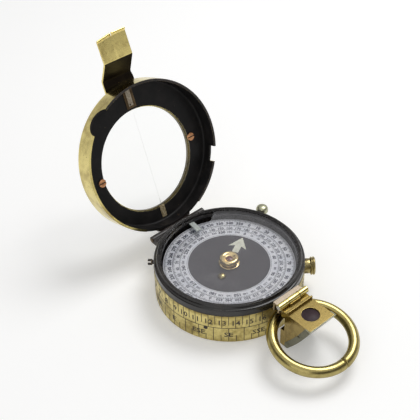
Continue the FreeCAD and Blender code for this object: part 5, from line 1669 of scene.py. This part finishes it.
    def tongue(self) -> None:
        """Bends the tongue.

        Its side view is a closed outline of points (y, z), the underside and the same line a
        sheet higher along the bisector of its bends. A point is carried across to x = v w(y),
        with v from -1 to 1 and w the half width there, moved by the middle line's own x, and
        rises by x times the twist. In the slot, y stops at the slot's bottom; beyond the start
        of the corner, y falls back in proportion to -v and to how far it is on.
        """
        under = np.array(self.tongue_line)
        run = np.diff(under, axis=0)
        side = np.stack([-run[:, 1], run[:, 0]], 1) / np.linalg.norm(run, axis=1, keepdims=True)
        first, last = np.vstack([side[:1], side]), np.vstack([side, side[-1:]])
        bisector = (first + last) / (1 + np.sum(first * last, axis=1, keepdims=True))
        outline = np.concatenate([under, (under + bisector * self.tongue_sheet)[::-1]])
        outline, _ = soften(outline, self.tongue_bend)
        half, bottom = self.tongue_slot
        width = np.array(self.tongue_width)
        cut = half / width[0, 1]
        beside = np.linspace(cut, 1, 8)
        within = np.linspace(-cut, cut, 4) * self.tongue_within
        v = np.concatenate([-beside[::-1], within, beside])[:, None]
        stopped = np.maximum(outline[:, 0], bottom)
        y = np.where(np.abs(v) < cut, stopped, outline[:, 0])
        back, start, reach = self.tongue_corner
        y = y + back * np.clip(-v, 0, 1) * np.clip((start - y) / reach, 0, 1)
        middle = np.array(self.tongue_middle)
        x = v * np.interp(y, width[:, 0], width[:, 1])
        x = x + np.interp(y, middle[:, 0], middle[:, 1])
        z = outline[:, 1] + x * self.tongue_twist
        points = self.opened(np.stack([x, y, z], -1).reshape(-1, 3))
        raw = new_piece("raw", points, swept(len(v), len(outline)))
        piece = self.dresser.eased(raw, "tongue_bent", 0.12)
        centres, normals = self.faces_shut(piece)
        across, up = self.tongue_facing
        # The faces under the slope and the root, beyond tongue_dark, are drawn near-black.
        dark = (np.abs(normals[:, 0]) < across) & (normals[:, 2] < up)
        paint_faces(piece.data, dark & (centres[:, 1] > self.tongue_dark))
        self.dresser.settle(piece, Body.LID, Slot.BRASS, ["brass", "tongue_black"], "lid_tongue")

    def build(self) -> None:
        """Dresses the lid and all that is fixed to it."""
        self.shell()
        self.screws()
        self.sighting_wire()
        self.tongue()
        dress = self.dresser.dress
        dress("lid_glass", Body.LID, Slot.GLASS, "lid_glass", 0.06)
        mark = turned("strip_mark", self.mark_outline, 0.03, 24)
        place = self.opened(np.array([self.mark_place]))[0]
        frame = self.opened(np.array([[0, 0, -1.0], [1.0, 0, 0]]), centre=False)
        lean(mark, place, *frame)
        self.dresser.settle(mark, Body.LID, Slot.LUMINOUS, ["enamel"])
        dress("upper_strip_frame", Body.LID, Slot.BRASS, "brown_brass", 0.05)
        dress("upper_strip", Body.LID, Slot.LUMINOUS, "aged", 0.04)
        dress("lower_strip", Body.LID, Slot.LUMINOUS, "golden", 0.04)
        dress("tongue_rivets", Body.LID, Slot.BRASS, "brown_brass", 0.04)
        dress("lid_hinge_leaf", Body.LID, Slot.BRASS, "hinge_black", 0.1)
        dress("lid_leaf_rivets", Body.LID, Slot.BRASS, "hinge_black", 0.04)


@dataclass
class Eyepiece:
    """The folding prism case on its leaf."""

    dresser: Dresser
    drum: Drum
    facing: float = 0.5

    def build(self) -> None:
        """Dresses the leaf and the prism case; the leaf's faces toward the drum or the floor
        get dark brown brass as painted shade.
        """
        dress = self.dresser.dress
        leaf = self.dresser.copy("prism_leaf", 0.1)
        _, normals = face_places(leaf.data)
        # Painted shade: faces toward the drum or the floor take the dark brown brass.
        shaded_faces = (normals[:, 1] > self.facing) | (normals[:, 2] < -self.facing)
        looks = np.where(self.drum.on_barrel(leaf), 1, np.where(shaded_faces, 2, 0))
        paint_faces(leaf.data, looks)
        finishes = ["case_brass", "barrel_brass", "brown_brass"]
        self.dresser.settle(leaf, Body.PRISM_PLATE, Slot.BRASS, finishes, "prism_leaf")
        dress("prism_box", Body.PRISM, Slot.BRASS, "case_brass", 0.1)
        dress("prism_cover", Body.PRISM, Slot.BRASS, "cover_brass", 0.06)
        dress("slide_screw", Body.PRISM, Slot.STEEL, "steel", 0.05)
        dress("prism_glass", Body.PRISM, Slot.GLASS, "prism_glass", 0.04)


@dataclass
class CarryingRing:
    """The ring of round brass wire, bent until its ends meet."""

    dresser: Dresser
    radius: float = 14.57
    wire: float = 2.05
    lug: Point = (0.0, -30.75, 11.4)
    yaw: float = -6.0
    tilt: float = 8.4
    joint: float = 278.0
    slit: float = 0.7
    end_round: float = 0.22
    steps: int = 240

    def build(self) -> None:
        """Bends the wire and sets it in the lug.

        The wire's middle is C + M (R cos t, R sin t, 0), where C is a radius outside the lug
        and M turns about X by the tilt and then about Z by the yaw. The wire's own radius
        falls off at both ends as a quarter circle.
        """
        half = self.slit / 2
        t = np.radians(self.joint + np.linspace(half, FULL_TURN - half, self.steps))
        away = np.minimum(t - t[0], t[-1] - t) * self.radius
        near = np.clip(1 - away / self.end_round, 0, 1)
        thick = self.wire - self.end_round * (1 - np.sqrt(1 - near**2))
        tilt = Matrix.Rotation(math.radians(self.tilt), 3, "X")
        turn = np.array(Matrix.Rotation(math.radians(self.yaw), 3, "Z") @ tilt)
        out = np.stack([np.cos(t), np.sin(t), 0 * t], 1) @ turn.T
        up = np.tile(turn[:, 2], (self.steps, 1))
        centre = np.array(self.lug) + turn @ np.array([0, -self.radius, 0])
        path = centre + self.radius * out
        piece = tube("ring_bent", path, up, out, thick, 40)
        self.dresser.settle(piece, Body.RING, Slot.BRASS, ["ring_brass"], "lanyard_ring")


# Studio


@dataclass
class Viewpoint:
    """The camera, placed where the photograph was taken from.

    The focal length, the image's side and the shift are in the photograph's pixels.
    """

    bearing: float = -41.1883
    elevation: float = 42.2257
    roll: float = -1.1122
    place: Point = (-171.5486, -188.1637, 255.6129)
    focal: float = 934.4551
    image: float = 420.0
    shift: Flat = (-5.0, 30.0)
    sensor: float = 36.0

    def build(self) -> None:
        """Makes the camera; its axes are right, up and back of the view, rolled."""
        a, e, r = (math.radians(v) for v in (self.bearing, self.elevation, self.roll))
        back = Vector((math.sin(a) * math.cos(e), -math.cos(a) * math.cos(e), math.sin(e)))
        right = (-back).cross(Vector((0, 0, 1))).normalized()
        up = right.cross(-back)
        across = right * math.cos(r) + up * math.sin(r)
        above = up * math.cos(r) - right * math.sin(r)
        lens = bpy.data.cameras.new("camera")
        lens.sensor_width = self.sensor
        lens.lens = self.focal * self.sensor / self.image
        lens.shift_x = self.shift[0] / self.image
        lens.shift_y = self.shift[1] / self.image
        lens.clip_start = 0.01
        camera = bpy.data.objects.new("camera", lens)
        turn = Matrix((across, above, back)).transposed().to_4x4()
        camera.matrix_world = Matrix.Translation(Vector(self.place) * MM) @ turn
        bpy.context.scene.collection.objects.link(camera)
        bpy.context.scene.camera = camera


@dataclass
class Studio:
    """A pale floor under soft lamps."""

    floor_half: float = 1500.0
    floor_colour: Colour = (0.9, 0.9, 0.895)
    floor_glow: float = 0.21
    sky: float = 0.55
    key_place: Point = (280.0, 25.0, 530.0)
    key_size: float = 300.0
    key_power: float = 1.6
    fill_place: Point = (-420.0, -260.0, 300.0)
    fill_size: float = 400.0
    fill_power: float = 0.5
    wall_radius: float = 1000.0
    wall_steps: int = 48
    wall_low: float = 240.0
    wall_high: float = 1190.0
    wall_dark: Colour = (0.07, 0.065, 0.06)
    wall_pale: Colour = (0.56, 0.55, 0.55)
    wall_pale_side: Flat = (0.66, 0.75)

    def floor(self) -> None:
        """A large flat floor that keeps the shadow and looks white to the camera."""
        half = self.floor_half
        corners = np.array([(-half, -half, 0), (half, -half, 0), (half, half, 0), (-half, half, 0)])
        floor = new_piece("floor", corners, [[0, 1, 2, 3]])
        s = Shader("floor")
        values = {
            "Base Color": (*self.floor_colour, 1.0),
            "Roughness": 0.85,
            "Specular IOR Level": 0.1,
            "Emission Color": (1.0, 1.0, 1.0, 1.0),
            "Emission Strength": s.shown() * self.floor_glow,
        }
        floor.data.materials.append(s.principled(values))

    def wall(self) -> None:
        """A dark curtain round the studio that only mirrors see, so that metal has depth."""
        around = self.wall_steps
        t = np.linspace(0, 2 * np.pi, around, endpoint=False)
        ring = np.stack([np.cos(t), np.sin(t)], 1) * self.wall_radius
        low = np.column_stack([ring, np.full(around, self.wall_low)])
        high = np.column_stack([ring, np.full(around, self.wall_high)])
        faces = quads(2, around, False, True)
        wall = new_piece("curtain", np.concatenate([low, high]), faces.tolist())
        s = Shader("curtain")
        folds = s.clouds(260.0, 2, (1, 1, 0.3)).step(0.35, 0.7)
        along_x, along_y = (share / self.wall_radius for share in self.wall_pale_side)
        side = s.axis("X") * along_x + s.axis("Y") * along_y
        pale = side.step(-0.3, 0.8) * 0.8 + folds * 0.2
        glow = s.blend(pale, self.wall_dark, self.wall_pale)
        values = {"Base Color": (0, 0, 0, 1), "Emission Color": glow, "Emission Strength": 1.0}
        wall.data.materials.append(s.principled(values))
        for rays in ("camera", "diffuse", "shadow", "transmission"):
            setattr(wall, "visible_" + rays, False)

    def world(self) -> None:
        """Pale where it is seen or mirrored, dimmer as a lamp."""
        s = Shader("studio", world=True)
        ends = {"Value": s.shown(), "To Min": self.sky, "To Max": 1.0}
        level = s.node("ShaderNodeMapRange", {}, ends)
        light = s.node("ShaderNodeBackground", {}, {"Strength": level})
        bpy.context.scene.world = s.done(light)

    def lamp(self, name: str, place: Point, size: float, power: float) -> None:
        """A square soft lamp that faces the compass.

        Args:
            name: The lamp's name.
            place: Where it hangs.
            size: Length of its side.
            power: Its power, in watts.
        """
        light = bpy.data.lights.new(name, "AREA")
        light.size = size * MM
        light.energy = power
        lamp = bpy.data.objects.new(name, light)
        lamp.location = Vector(place) * MM
        lamp.rotation_euler = Vector(place).to_track_quat("Z", "Y").to_euler()
        bpy.context.scene.collection.objects.link(lamp)

    def build(self) -> None:
        """Sets up the floor, the curtain, the world and the lamps."""
        self.floor()
        self.wall()
        self.world()
        self.lamp("key", self.key_place, self.key_size, self.key_power)
        self.lamp("fill", self.fill_place, self.fill_size, self.fill_power)
        bpy.context.scene.view_settings.view_transform = "Standard"


def main() -> None:
    """Builds the compass piece by piece, then the studio."""
    logging.basicConfig(level=logging.INFO, format="%(name)s: %(message)s")
    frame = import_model()
    dresser = Dresser(frame, Paints(Finishes()))
    drum = Drum(dresser)
    for assembly in (
        drum, BearingScale(dresser), Bezel(dresser), Card(dresser), Controls(dresser),
        Lid(dresser), Eyepiece(dresser, drum), CarryingRing(dresser),
    ):
        LOG.info("building %s", type(assembly).__name__)
        assembly.build()
    Studio().build()
    Viewpoint().build()


if __name__ == "__main__":
    main()
